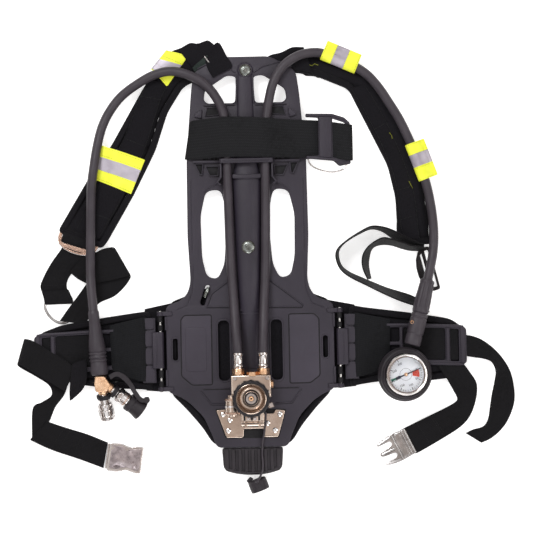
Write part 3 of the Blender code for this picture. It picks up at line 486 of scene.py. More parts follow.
def ribbon(name, edges, thickness=1.8, steps=6, columns=(0, 0.03, 0.12, 0.5, 0.88, 0.97, 1),
           smooth=True, crown=0.0):
    """Flat webbing between pairs of edge points, with soft edges and its own UVs."""
    left, right = ([Vector(pair[edge]) for pair in edges] for edge in (0, 1))
    if smooth:
        left, right = catmull_rom(left, steps), catmull_rom(right, steps)
    middle = [(a + b) / 2 for a, b in zip(left, right)]
    corners, uvs, faces = [], [], []
    wide = len(columns)
    travelled = 0.0
    last = None
    for index, (start, end) in enumerate(zip(left, right)):
        if index:
            travelled += (middle[index] - middle[index - 1]).length
        tangent = middle[min(index + 1, len(middle) - 1)] - middle[max(index - 1, 0)]
        normal = (end - start).cross(tangent)
        normal = normal.normalized() if normal.length > 1e-6 else last
        if last is not None and normal.dot(last) < -0.4:
            normal = last
        last = normal
        for side in (0.5, -0.5):
            for share in columns:
                rim = 0.35 if share in (0, 1) else 1.0
                bulge = crown * math.sin(math.pi * share)
                corners.append(start.lerp(end, share) + normal * (side * thickness * rim + bulge))
                uvs.append((share * (end - start).length, travelled))
    rows = len(left)
    for row in range(rows - 1):
        a, b = row * 2 * wide, (row + 1) * 2 * wide
        for column in range(wide - 1):
            faces.append((a + column, a + column + 1, b + column + 1, b + column))
            faces.append((a + wide + column, b + wide + column, b + wide + column + 1,
                          a + wide + column + 1))
        faces.append((a, b, b + wide, a + wide))
        faces.append((a + wide - 1, a + 2 * wide - 1, b + 2 * wide - 1, b + wide - 1))
    for base in (0, (rows - 1) * 2 * wide):
        faces.append(tuple(range(base, base + wide))
                     + tuple(range(base + 2 * wide - 1, base + wide - 1, -1)))
    return mesh_piece(name, corners, faces, uvs, sharp=50.0)


def sweep(name, points, radius, sides=20):
    """A round solid along the points; radius is one number or one for each point."""
    line = [Vector(point) for point in points]
    radii = [radius] * len(line) if isinstance(radius, (int, float)) else radius
    corners, faces, uvs = [], [], []
    side = None
    travelled = 0.0
    for index, point in enumerate(line):
        way = (line[min(index + 1, len(line) - 1)] - line[max(index - 1, 0)]).normalized()
        if index:
            travelled += (point - line[index - 1]).length
        if side is None:
            side = way.orthogonal().normalized()
        side = (side - way * side.dot(way)).normalized()
        other = way.cross(side)
        size = radii[index]
        for step in range(sides):
            angle = 2 * math.pi * step / sides
            corners.append(point + side * size * math.cos(angle) + other * size * math.sin(angle))
            uvs.append((step / sides * 2 * math.pi * size, travelled))
    for row in range(len(line) - 1):
        for step in range(sides):
            a = row * sides + step
            b = row * sides + (step + 1) % sides
            faces.append((a, b, b + sides, a + sides))
    faces.append(tuple(range(sides - 1, -1, -1)))
    faces.append(tuple(range((len(line) - 1) * sides, len(line) * sides)))
    return mesh_piece(name, corners, faces, uvs)


def lathe(name, profile, base=(0, 0, 0), way=(0, 0, 1), sides=48, shape=None, sharp=32.0):
    """A turned solid from (radius, height) points that start and end on the axis, or close."""
    turn = Vector(way).normalized().to_track_quat("Z", "Y").to_matrix()
    start = Vector(base)
    corners, rings, faces = [], [], []
    for radius, height in profile:
        ring = []
        for step in range(1 if radius == 0 else sides):
            angle = 2 * math.pi * step / sides
            size = radius if shape is None else shape(angle, radius, height)
            spot = Vector((size * math.cos(angle), size * math.sin(angle), height))
            ring.append(len(corners))
            corners.append(start + turn @ spot)
        rings.append(ring)
    if profile[0][0] > 0 and profile[-1][0] > 0:
        rings.append(rings[0])
    for one, two in zip(rings, rings[1:]):
        for step in range(sides):
            after = (step + 1) % sides
            corner = [one[step % len(one)], one[after % len(one)], two[after % len(two)],
                      two[step % len(two)]]
            face = tuple(dict.fromkeys(corner))
            if len(face) > 2:
                faces.append(face)
    return mesh_piece(name, corners, faces, sharp=sharp)


def stub(radius, length, edge):
    """The profile of a short bar with chamfered ends."""
    return [(0, length), (radius - edge, length), (radius, length - edge), (radius, edge),
            (radius - edge, 0), (0, 0)]


def six_sided(angle, across):
    """How far a hexagon's face is from its axis at that angle."""
    return across / math.cos(angle % (math.pi / 3) - math.pi / 6)


def box_piece(name, low, high, bevel=0.8):
    return panel(name, [(low[0], low[1]), (high[0], low[1]), (high[0], high[1]),
                        (low[0], high[1])], low[2], high[2], bevel)


def side_box(name, sign, low, high, bevel=0.8):
    """A box that is given for the right side, on the side of the sign."""
    ends = sorted((sign * low[0], sign * high[0]))
    return box_piece(name, (ends[0], *low[1:]), (ends[1], *high[1:]), bevel)


def dashes(name, points, dash=2.8, gap_shade=1.6, radius=0.38, smooth=True):
    """A row of thread stitches along the points."""
    line = evenly_spaced(points, 1.0, smooth)
    corners, faces = [], []
    run = dash + gap_shade
    total = len(line) - 1
    for number in range(int(total / run)):
        first = min(int(number * run), total)
        second = min(int(number * run + dash), total)
        if second <= first:
            continue
        start, end = line[first], line[second]
        way = (end - start).normalized()
        side = way.orthogonal().normalized() * radius
        other = way.cross(side)
        base = len(corners)
        for share, size in ((0.0, 0.25), (0.2, 1.0), (0.8, 1.0), (1.0, 0.25)):
            for offset in (side, other, -side, -other):
                corners.append(start.lerp(end, share) + offset * size)
        for row in range(3):
            for step in range(4):
                a = base + row * 4 + step
                b = base + row * 4 + (step + 1) % 4
                faces.append((a, b, b + 4, a + 4))
        faces.append((base + 3, base + 2, base + 1, base))
        faces.append((base + 12, base + 13, base + 14, base + 15))
    return mesh_piece(name, corners, faces)


def join(name, pieces):
    """One mesh object out of several."""
    shape = bmesh.new()
    for piece in pieces:
        piece.data.transform(piece.matrix_world)
        shape.from_mesh(piece.data)
    mesh = bpy.data.meshes.new(name)
    shape.to_mesh(mesh)
    shape.free()
    for piece in pieces:
        bpy.data.objects.remove(piece, do_unlink=True)
    return add_object(name, mesh)


def moved(piece, matrix):
    piece.data.transform(matrix)
    return piece


def placed(piece, location, angle=0.0):
    """A piece made round the origin, turned about Z and put at the location."""
    return moved(piece, Matrix.Translation(Vector(location) * MM)
                 @ Matrix.Rotation(math.radians(angle), 4, "Z"))


def paint(mesh, material):
    mesh.materials.clear()
    mesh.materials.append(material)


def use(piece, body, material, slot, *replaced):
    """Paints a piece and puts it on its body, in place of the nodes it stands for."""
    paint(piece.data, material)
    if replaced:
        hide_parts(*replaced)
    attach(piece, body)
    return piece


def use_blend(piece, first, second, start, end, material, slot, *replaced):
    """Paints a piece that runs between two bodies and hides the nodes it stands for; the piece stays
    fixed where it is and follows neither body.
    """
    paint(piece.data, material)
    if replaced:
        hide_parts(*replaced)
    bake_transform(piece)


def turned(name, profile, axis, sides, body, material, slot, *replaced, **more):
    """A turned piece on an axis, painted and put on its body."""
    return use(lathe(name, profile, *axis, sides, **more), body, material, slot, *replaced)


def strap(name, edges, body, *replaced, material=WEBBING, thickness=1.8, **more):
    """A length of webbing between its edge points, painted and put on its body."""
    use(ribbon(name, edges, thickness, **more), body, material, "webbing", *replaced)


def repaint(name, material):
    """A CAD body that is shown as it is, in a finished material."""
    mesh = NODES[name].data
    paint(mesh, material)
    mesh.shade_smooth()
    mesh.set_sharp_from_angle(angle=math.radians(35))


# -------------------------------------------------------------------------- hoses
LEFT_HOSE_ROUTE = [(-17.5, -2.2, 42), (-18.5, 12, 42), (-20, 30, 39), (-22, 71, 29.5),
                   (-25, 127, CHANNEL_Z), (-26, 183, CHANNEL_Z), (-27, 239, CHANNEL_Z),
                   (-28, 302, CHANNEL_Z), (-30.5, 331, CHANNEL_Z), (-40, 354, CHANNEL_Z),
                   (-56, 374, 25.5), (-78, 387, 25.5), (-102, 393, 24.5), (-126, 389, 22),
                   (-150, 377, 18), (-174, 360, 14), (-191, 339, 13), (-202, 317, 15),
                   (-209, 291, 18), (-214, 262, 22), (-218, 234, 23), (-219.5, 205, 22),
                   (-221, 158, 21.5), (-222, 117, 22), (-221, 89, 26.5), (-218.5, 58.8, 31)]
RIGHT_HOSE_ROUTE = [(17.5, -2.2, 42), (18, 12, 42), (19, 30, 39), (21, 70, 29.5),
                    (23.5, 112, CHANNEL_Z), (25, 168, CHANNEL_Z), (26, 224, CHANNEL_Z),
                    (27, 301, CHANNEL_Z), (30, 330, CHANNEL_Z), (34, 352, CHANNEL_Z),
                    (39, 371, CHANNEL_Z), (47, 387, 25.3), (59, 401, 25), (78, 412, 23),
                    (101, 415.5, PAD_HOSE_Z + 0.6), (119, 411, PAD_HOSE_Z + 0.4),
                    (137, 403, PAD_HOSE_Z + 0.4), (155, 394.5, PAD_HOSE_Z + 0.3),
                    (173, 382, PAD_HOSE_Z + 0.1), (189, 363, PAD_HOSE_Z),
                    (203, 341, PAD_HOSE_Z), (216, 319, PAD_HOSE_Z), (228, 293, PAD_HOSE_Z),
                    (241, 261, PAD_HOSE_Z), (252, 227, PAD_HOSE_Z), (258.5, 192, PAD_HOSE_Z),
                    (261, 160, PAD_HOSE_Z + 0.5), (259.5, 134, 22), (255.5, 114, 26),
                    (250.6, 94, 29.5)]
LANYARD_ROUTE = [(19.4, -88, 25), (19.2, -96, 24), (18.4, -105, 23.1), (16, -120, 22.9),
                 (14, -134, 23.6), (13.5, -148, 23.8), (14, -160, 24), (13.4, -169, 25.4),
                 (10.5, -176.5, 28), (7.5, -181, 29), (5, -184, 28.7)]
MANIFOLD_HUB = Vector((-209.8, -40.0, 29.0))
COUPLING_WAY = Vector((0.12, -0.95, -0.28)).normalized()
BRANCH_WAY = Vector((0.78, -0.60, -0.17)).normalized()
COUPLING_BASE = MANIFOLD_HUB + COUPLING_WAY * 18.0
COUPLING = (COUPLING_BASE, COUPLING_WAY)
BRANCH = (MANIFOLD_HUB + BRANCH_WAY * 18.0, BRANCH_WAY)
SUPPLY_START, SUPPLY_END = Vector((-218.4, 57.5, 31.1)), Vector((-211.5, -31.0, 31.1))
SLEEVE_START, SLEEVE_END = Vector((250.2, 92.6, 29.9)), Vector((238.4, 47.0, 32.4))
WHISTLE_START, WHISTLE_END = Vector((237.9, 44.9, 32.5)), Vector((225.5, 0.5, 36.5))
GAUGE_AXES = (Matrix.Translation(Vector((213.0, -38.0, 22.4)) * MM)
              @ Matrix.Rotation(math.radians(6.0), 4, "Y"))


def hose(name, route, node_name):
    """A hose swept along the route in place of its node; it stays fixed, so its reducer end does not
    follow the reducer's tilt.
    """
    line = evenly_spaced(route, 5.0)
    piece = sweep(name, line, HOSE_RADIUS, 24)
    piece.data.materials.append(HOSE)
    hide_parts(node_name)
    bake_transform(piece)
    return piece, line


supply_line, supply_path = hose("supply_hose_look", LEFT_HOSE_ROUTE, "supply_hose")
gauge_line, gauge_path = hose("gauge_hose_look", RIGHT_HOSE_ROUTE, "gauge_hose")
lanyard_path = evenly_spaced(LANYARD_ROUTE, 2.5)
lanyard = use(sweep("lanyard_look", lanyard_path, LANYARD_RADIUS, 14), "harness", HOSE,
              "black_rubber", "lanyard")


# ------------------------------------------------------- pieces on the supply hose
def ringed(profile, heights, radius, depth, half):
    """The profile with a raised ring at each of the heights."""
    kept = [point for point in profile
            if all(abs(point[1] - height) > half for height in heights)]
    for height in heights:
        kept += [(radius, height - half), (radius + depth, height - half * 0.5),
                 (radius + depth, height + half * 0.5), (radius, height + half)]
    return sorted(kept, key=lambda point: -point[1])


def supply_end():
    """The rubber sleeve and the brass manifold with its two outlets."""
    body = [(7.9, 0.8), (7.7, 4), (7.9, 16), (8.9, 27), (10.7, 39), (11.6, 48), (11.7, 54),
            (11.2, 64.5), (11.2, 70), (11.6, 75), (12.2, 84), (11.4, 87.2), (10.2, 88)]
    body = ringed(body, (57.5, 62.5, 67.5), 10.9, 1.3, 1.9)
    sleeve = turned("supply_sleeve_look", [(0, 88)] + body + [(7.6, 0.2), (7.0, -2.4), (0, -2.4)],
                    (SUPPLY_START, SUPPLY_END - SUPPLY_START), 48, "harness", HOSE, "hose_rubber",
                    "supply_hose_sleeve", sharp=60.0)
    parts = [lathe("hub_ball", [(0, 8.2), (5, 6.6), (8, 2.6), (8, -2.6), (5, -6.6), (0, -8.2)],
                   MANIFOLD_HUB, UP, 8),
             lathe("hub_inlet", [(0, 9.5), (7.2, 9.5), (7.2, 2.5), (8.4, 1.5), (8.4, 0), (0, 0)],
                   (-210.6, -32.2, 30.4), (0.06, -0.97, -0.2), 6)]
    for way in (COUPLING_WAY, BRANCH_WAY):
        outlet = [(0, 17.7), (6.2, 17.7), (6.9, 16.6), (6.9, 8), (5.8, 7), (0, 7)]
        parts.append(lathe("hub_outlet", outlet, MANIFOLD_HUB, way, 24))
    hub = use(join("manifold_look", parts), "harness", BRASS, "brass", "manifold")
    face = rounded([(-217.5, -31.5), (-205, -31.5), (-196.5, -44), (-202, -54), (-217.5, -54),
                    (-219.5, -42)], 3.0)
    plate = use(panel("manifold_plate", face, 30.0, 36.8, 1.4), "harness", BRASS, "brass")
    return [sleeve, hub, plate]


def knurled(angle, radius, height):
    """Crossed knurling on the widest part of the sliding sleeve."""
    if radius <= 11.05:
        return radius
    return radius + 0.28 * math.cos(26 * angle) * (1 if int(height / 1.3) % 2 else -1)


def flats(angle, radius, height):
    """Six flats on the branch coupling's collar."""
    return min(radius + 0.9, six_sided(angle, 9.0)) if 11.5 < height < 17.0 else radius


def coupling():
    """The quick coupling; its outer sleeve slides back along the bare stretch of the body."""
    profile = [(0, 12), (4.5, 12), (4.5, 36.6), (5.0, 37), (7.6, 37), (7.8, 36.6), (7.8, 8.5),
               (8.5, 8.3), (9.3, 7.8), (9.3, 6.9), (8.6, 6.5), (7.0, 6.3), (6.4, 6.0), (6.4, 0.6),
               (5.9, 0), (0, 0)]
    turned("supply_coupling_look", profile, COUPLING, 40, "harness", CHROME, "chrome",
           "supply_coupling")
    ring = [(9.7, 5.9), (10.2, 5.2), (10.2, 1.8), (9.6, 1.2), (6.6, 1.2), (6.6, 5.9)]
    rubber = turned("coupling_collar", ring, COUPLING, 32, "harness", RUBBER_BLACK, "black_rubber")
    grip_band = [(11.1, height) for height in (30.7, 29.4, 28.1, 26.8, 25.5, 24.2, 22.9)]
    profile = [(8.1, 14.2), (8.1, 37.2), (8.5, 37.5), (10.0, 37.5), (10.9, 36.4), (10.9, 34.6),
               (9.7, 34.0), (9.7, 32.6), (10.9, 32.0), *grip_band, (10.9, 22.2), (9.7, 21.8),
               (9.7, 20.4), (11.0, 19.9), (11.0, 17.2), (9.6, 14.3), (8.6, 14.0)]
    turned("coupling_sleeve_look", profile, COUPLING, 104, "sleeve", CHROME, "steel",
           "coupling_sleeve", shape=knurled, sharp=25.0)
    balls = []
    across = COUPLING_WAY.orthogonal().normalized()
    for number in range(8):
        out = Matrix.Rotation(2 * math.pi * number / 8, 3, COUPLING_WAY) @ across
        spot = COUPLING_BASE + COUPLING_WAY * 33.3 + out * 9.6
        balls.append(lathe("ball", [(0, 1.3), (0.9, 0.9), (1.3, 0), (0.9, -0.9), (0, -1.3)], spot,
                           out, 10))
    use(join("coupling_balls", balls), "sleeve", STEEL, "steel")
    return rubber


def branch():
    """The second outlet, with its rubber cap on a flat tether."""
    profile = [(0, 42), (6.9, 42), (7.5, 41.3), (7.5, 28.4), (8.8, 28), (9.6, 27.4), (9.7, 26.2),
               (9.1, 25.5), (9.1, 24.3), (9.7, 23.6), (9.7, 18.4), (9.2, 17.8), (9.2, 16.8),
               (9.7, 16.2), (9.7, 12.6), (8.6, 11), (6.8, 10), (6.4, 9.4), (6.4, 0.6), (5.9, 0),
               (0, 0)]
    turned("branch_coupling_look", profile, BRANCH, 72, "harness", CHROME, "chrome",
           "branch_coupling", shape=flats)
    ring = [(8.6, 8.4), (9.2, 7.8), (9.2, 3.2), (8.6, 2.6), (6.6, 2.6), (6.6, 8.4)]
    turned("branch_ring", ring, BRANCH, 32, "harness", RUBBER_BLACK, "black_rubber")
    turned("branch_bit", [(10.1, 24.9), (10.1, 23.9), (9.3, 23.9), (9.3, 24.9)], BRANCH, 32,
           "harness", COPPER, "brass")
    profile = [(0, 50.2), (9.0, 50.4), (11.2, 51.2), (12.4, 53), (13.6, 53), (14.4, 52.2),
               (14.5, 50.4), (13.9, 47.5), (12.8, 43.5), (12.2, 38), (12.2, 36.6), (12.9, 35.8),
               (12.9, 30.2), (12.1, 29.0), (8.3, 29.0), (8.2, 43.5), (0, 43.5)]
    turned("coupling_cap_look", profile, BRANCH, 48, "cap", RUBBER, "black_rubber", "coupling_cap")
    edges = [((-199, -30.5, 34), (-196, -37, 34)), ((-188, -26, 34), (-188, -32.5, 34)),
             ((-176, -31, 32.5), (-180, -37, 32.5)), ((-166.5, -42, 31.5), (-172, -45.5, 31.5)),
             ((-160, -54, 32.5), (-165.5, -57, 32.5)),
             ((-152.5, -63.5, 33), (-156, -69, 33)), ((-144, -63, 31), (-146, -69.5, 31))]
    use_blend(ribbon("cap_tether_look", edges, 1.6), "harness", "cap", (-172, -38, 30),
              (-156, -62, 30), RUBBER, "black_rubber", "cap_tether")
    tab = rounded([(-150, -62.5), (-143.5, -62), (-141.5, -68), (-146, -72.5), (-152, -69)], 2.5)
    use(panel("tether_tab", tab, 29.4, 31.4, 0.7), "cap", RUBBER, "black_rubber")


supply_pieces = supply_end()
supply_pieces.append(coupling())
branch()
repaint("coupling_poppet", STEEL)


# -------------------------------------------------------- pieces on the gauge hose
def ridged(angle, radius, height):
    """Fourteen low ridges along the gauge hose's sleeve."""
    return radius + 0.35 * math.cos(14 * angle) if 4 < height < 40 else radius


def flattened(angle, radius, _height):
    """Four slightly flat sides on the whistle."""
    return radius * (1.0 - 0.05 * math.cos(2 * angle) ** 2)


sleeve_profile = [(0, 47.5), (10.0, 47.5), (11.2, 46.4), (11.7, 43.5), (11.6, 40.5), (11.4, 39),
                  (11.2, 30), (10.6, 20), (10.0, 10), (9.6, 5), (10.0, 4.2), (10.4, 3),
                  (10.2, 1.4), (9.6, 0.3), (7.6, 0), (7.0, -2.4), (0, -2.4)]
gauge_sleeve = turned("gauge_sleeve_look", sleeve_profile,
                      (SLEEVE_START, SLEEVE_END - SLEEVE_START), 112, "harness", HOSE,
                      "hose_rubber", "gauge_hose_sleeve", shape=ridged)
whistle_profile = [(0, 45), (10.2, 45), (11.4, 44), (12.0, 42), (12.0, 31), (11.5, 30.2),
                   (11.5, 28.8), (12.1, 28), (12.4, 26), (12.5, 12), (12.2, 6.4), (11.6, 5.6),
                   (11.6, 4.4), (12.3, 3.6), (12.4, 1.2), (11.2, -1.4), (9.0, -2.4), (0, -2.4)]
whistle = turned("whistle_look", whistle_profile, (WHISTLE_START, WHISTLE_END - WHISTLE_START),
                 64, "harness", HOSE, "hose_rubber", "whistle", shape=flattened)
PORT = ((226.5, 34.5, 43.0), (-0.55, 0.0, 0.83))
whistle_port = use(join("whistle_port", [
    lathe("port_rim", [(2.6, 0.6), (2.9, 0), (2.9, -1.2), (1.7, -1.2), (1.7, 0.6)], *PORT, 24),
    lathe("port_core", [(0, -0.2), (1.7, -0.2), (1.7, -1.2), (0, -1.2)], *PORT, 16)]),
    "harness", BRASS, "brass")


# --------------------------------------------------------------------------- gauge
def on_gauge(piece, body, material, slot, *replaced):
    """A piece made round the gauge's own axis."""
    return use(moved(piece, GAUGE_AXES), body, material, slot, *replaced)


boot_profile = [(0, 5), (29.6, 5), (29.6, 30.2), (30.4, 31.2), (31.8, 31.4), (32.6, 30.4),
                (32.9, 28.6), (33.8, 27.8), (35.0, 27.4), (35.7, 26.0), (35.9, 23.6), (36.6, 22.8),
                (37.4, 21.8), (37.9, 20.0), (38.0, 16.5), (37.4, 13.5), (36.6, 12.6),
                (36.5, 10.6), (35.8, 9.8), (34.6, 7.0), (34.2, 5.0), (32.8, 2.2), (30.4, 0.5),
                (26.0, 0), (0, 0)]
case_profile = [(0, 9), (24, 9), (24, 24), (25.8, 24), (25.8, 33.2), (24.4, 34.2), (24.2, 35.6),
                (24.9, 36.6), (26.4, 37.3), (27.9, 37.0), (28.9, 35.9), (29.3, 34.2),
                (29.3, 5.4), (0, 5.4)]
lens_profile = [(0, 33.4), (12, 33.2), (20, 32.8), (25.2, 32.0), (25.2, 31.2), (0, 31.2)]
dial_profile = [(1.2, 25.4), (25.3, 25.4), (25.3, 24.5), (1.2, 24.5)]
for part, profile, sides, material, slot in (
        ("boot", boot_profile, 72, RUBBER, "black_rubber"),
        ("case", case_profile, 80, CHROME, "chrome"), ("lens", lens_profile, 64, GLASS, "glass"),
        ("dial", dial_profile, 72, DIAL, "dial_white")):
    on_gauge(lathe("gauge_" + part + "_look", profile, sides=sides), "harness", material, slot,
             "gauge_" + part)


def dial_bar(name, degrees, inner, outer, width):
    """A printed line on the dial, from one radius to another."""
    bar = panel(name, [(inner, -width / 2), (outer, -width / 2), (outer, width / 2),
                       (inner, width / 2)], 25.4, 25.75, 0.05)
    return moved(bar, Matrix.Rotation(math.radians(degrees), 4, "Z"))


def dial_sector(name, first, last, inner, outer):
    """A printed field on the dial, between two angles and two radii."""
    angles = [math.radians(first + (last - first) * step / 8) for step in range(9)]
    outline = ([(outer * math.cos(a), outer * math.sin(a)) for a in angles]
               + [(inner * math.cos(a), inner * math.sin(a)) for a in reversed(angles)])
    return panel(name, outline, 25.4, 25.7, 0.05)


ZERO_ANGLE, SCALE_SPAN, SCALE_STEPS = 22.0, 262.0, 6
ticks = []
for step in range(SCALE_STEPS * 5 + 1):
    major = step % 5 == 0
    degrees = ZERO_ANGLE - SCALE_SPAN * step / (SCALE_STEPS * 5)
    ticks.append(dial_bar("tick", degrees, 19.6 if major else 21.2, 23.4, 0.8 if major else 0.4))
for step in range(SCALE_STEPS + 1):
    angle = math.radians(ZERO_ANGLE - SCALE_SPAN * step / SCALE_STEPS)
    words = bpy.data.curves.new("number", "FONT")
    words.body = str(step * 50)
    words.size = 4.4 * MM
    words.extrude = 0.12 * MM
    words.align_x, words.align_y = "CENTER", "CENTER"
    number = add_object("number_mesh", baked(add_object("number_text", words)))
    spot = (16.4 * math.cos(angle), 16.4 * math.sin(angle), 25.55)
    ticks.append(placed(number, spot, ZERO_ANGLE))
ticks.append(lathe("mark_ring", [(8.2, 25.7), (8.5, 25.7), (8.5, 25.4), (8.2, 25.4)], sides=48))
on_gauge(join("dial_marks", ticks), "harness", INK, "needle_black")
on_gauge(dial_sector("dial_red", 20, -12, 9.5, 19.0), "harness", INK_RED, "dial_white")
on_gauge(dial_sector("dial_green", 206, 197, 13.5, 22.0), "harness", INK_GREEN, "dial_white")
pointer = panel("gauge_pointer", [(-15, -1.7), (-9.5, -2.3), (-8, -1.0), (20.5, -0.45),
                                  (21.2, 0.0), (20.5, 0.45), (-8, 1.0), (-9.5, 2.3), (-15, 1.7)],
                26.6, 27.4, 0.2)
moved(pointer, Matrix.Rotation(math.radians(ZERO_ANGLE), 4, "Z"))
on_gauge(pointer, "needle", INK, "needle_black", "gauge_needle")
on_gauge(lathe("pointer_hub", [(0, 29), (1.6, 28.8), (2.5, 28.0), (2.6, 26.2), (0.8, 26.0),
                               (0.8, 18), (0, 18)], sides=24), "needle", BRASS, "brass")


# ---------------------------------------------------------------------- dust cap
def fluted(angle, radius, height):
    """Small flutes round the dust cap."""
    return radius + (0.25 * math.cos(24 * angle) if 4 < height < 14 and radius > 12.8 else 0)


dust_profile = [(0, 17.3), (9.5, 17.3), (11.8, 16.8), (13.0, 15.4), (13.1, 14), (13.0, 12),
                (13.0, 6), (13.0, 4.2), (13.2, 3.2), (13.3, 1.2), (12.8, 0.2), (12.0, 0),
                (11.4, 0.6), (11.3, 14.5), (0, 14.5)]
dust_cap = turned("dust_cap_look", dust_profile, ((10.2, -198.5, 13.5), (-0.345, 0.939, 0)), 72,
                  "harness", RUBBER, "black_rubber", "dust_cap", shape=fluted)
tab_outline = rounded([(-9.8, -184.5), (-4.5, -178.6), (0.5, -181.5), (-6, -189)], 1.5)
dust_tab = use(panel("dust_tab", tab_outline, 14.0, 16.5, 0.8), "harness", RUBBER, "black_rubber")
knot_profile = [(0, 3), (2, 2.6), (2.7, 0.8), (2.7, -1.0), (2, -2.2), (0, -2.4)]
cord_knot = turned("cord_knot", knot_profile, ((5, -184.2, 28.2), (-0.2, 0.6, 0.6)), 18,
                   "harness", HOSE, "black_rubber")


# ---------------------------------------------------------------------- backplate
RIGHT_EDGE = [(36, 412), (72, 391), (76, 362), (79, 327), (84, 271), (85, 160), (82, 98),
              (86, 82), (96, 71), (118, 64), (118, -57), (98, -65), (85, -75), (67, -94),
              (55, -122), (50, -137)]
WINDOW = rounded([(12, 384), (25, 386), (56, 366), (58, 352), (53, 347), (14, 347)], 5.0)
SIDE_SLOT = rounded([(37, 226), (58, 224), (66, 190), (65, 130), (59, 104), (44, 100), (34, 120),
                     (31, 160), (32, 205)], 9.0)
LONG_SLOT = rounded([(29, 42), (45, 42), (45, -43), (29, -43)], 7.6, 6)
END_SLOT = rounded([(102, 18), (109, 18), (109, -13), (102, -13)], 3.4, 4)
OBLIQUE_SLOT = rounded([(-55.3, 92), (-60.6, 92), (-69.5, 68), (-67.5, 63.8), (-63, 63.6)], 2.5)


def backplate():
    """The moulded plate with its slots, raised lines, hose bridge and hinge lugs."""
    outline = rounded(RIGHT_EDGE + mirrored(RIGHT_EDGE), 9.0, 5)
    holes = []
    for hole in (WINDOW, SIDE_SLOT, LONG_SLOT, END_SLOT):
        holes += [hole, mirrored(hole)]
    parts = [panel("plate_base", outline, 13.3, PLATE_TOP, 1.1, holes + [OBLIQUE_SLOT], 3)]
    top = PLATE_TOP - 0.6

    def both(maker, points, *sizes):
        parts.append(maker("raised", points, *sizes))
        parts.append(maker("raised", mirrored(points), *sizes))

    both(ring_panel, LONG_SLOT, 2.2, top, 19.6)
    both(ring_panel, END_SLOT, 1.8, top, 19.4)
    both(ring_panel, WINDOW, 1.6, top, 19.3)
    both(rib, [(-75, 265.2), (-36, 265.2)], 3.4, top, 23.0)
    both(rib, [(-36, 263), (-36, 243), (-41, 236), (-36.5, 232)], 2.6, top, 31.0)
    both(ring_panel, grown([(-58, 259), (-38.5, 259), (-39.5, 245), (-52, 244.5)], -1.6), 1.7,
         top, 21.5)
    both(ring_panel, grown([(-73, 263), (-60.5, 263), (-62, 246.5), (-66, 246.5)], -1.8), 1.8,
         top, 22.5)
    both(rib, [(-60, 222), (-52, 230), (-42, 233)], 1.4, top, 19.4)
    both(panel, [(-71.7, 328.5), (-70.4, 333), (-60.8, 339), (-62, 326)], top, 21.8, 0.8)
    both(ring_panel, grown([(-54, 342), (-35, 342), (-37, 330), (-57, 329)], -1.5), 1.5, top, 20.2)
    both(rib, [(-58, 344.6), (-14, 344.6)], 1.6, top, 20.0)
    both(rib, [(-66, 396), (-50, 404), (-26, 398), (-13, 390)], 1.6, top, 19.8)
    both(rib, [(-12, 386), (-12, 346)], 1.6, top, 20.4)
    parts.append(rib("spread_rib", [(-60.7, 61.5), (73, 58.8)], 1.5, top, 19.6))
    parts.append(rib("left_slant", [(-28.6, 97.2), (-53.1, 79.9), (-59.7, 62.2)], 1.5, top, 19.6))
    parts.append(rib("right_slant", [(27.7, 98.7), (75.1, 61.9), (73.2, 58.8)], 1.5, top, 19.6))
    for height in (56.0, 51.0):
        parts.append(rib("step_rib", [(-13, height), (13, height)], 1.5, top, 24.0))
    both(rib, [(-70.4, -57.3), (-56.5, -75.5), (-34, -76)], 1.8, top, 19.8)
    both(rib, [(-68, -53.8), (-30, -53.8)], 0.9, top, 18.9)
    both(rib, [(-104, 58), (-88, 64), (-80, 84), (-78, 120)], 1.3, top, 19.0)
    both(rib, [(-79, 140), (-79, 240)], 1.0, top, 18.9)
    bow = [(-20, 247), (0, 245.6), (20, 247), (20, 240.5), (0, 239.4), (-20, 240.5)]
    parts.append(panel("bow_rib", rounded(bow, 2.0), top, 30.6, 1.2))
    parts.append(lathe("rivet_boss", [(0, 21.6), (9.6, 21.6), (10.6, 20.6), (11.4, top), (0, top)],
                       (1, 392.6, 0)))
    bridge = [(-36.5, 268.6), (36.5, 268.6), (36.5, 262), (-36.5, 262)]
    parts.append(panel("hose_bridge", rounded(bridge, 1.5), 32.5, 35.6, 1.0))
    parts.append(rib("bridge_line", [(-32, 265.3), (32, 265.3)], 1.2, 35.0, 36.3))
    both(panel, [(-37.4, 268.4), (-34.2, 268.4), (-34.2, 262.2), (-37.4, 262.2)], top, 34.0, 0.7)
    for side in (-1, 1):
        for low, high in ((50.0, 56.0), (-56.0, -50.0)):
            parts.append(side_box("lug", side, (109.0, low, 13.6), (126.0, high, 20.6)))
            parts.append(lathe("lug_eye", stub(4.5, 6, 0.5), (side * HINGE_X, low, HINGE_Z),
                               (0, 1, 0), 24))
        for low, high in ((30.0, 49.0), (-49.0, -26.0)):
            parts.append(side_box("lug_wall", side, (116.5, low, 14.0), (119.5, high, 20.0)))
    return join("backplate_look", parts)


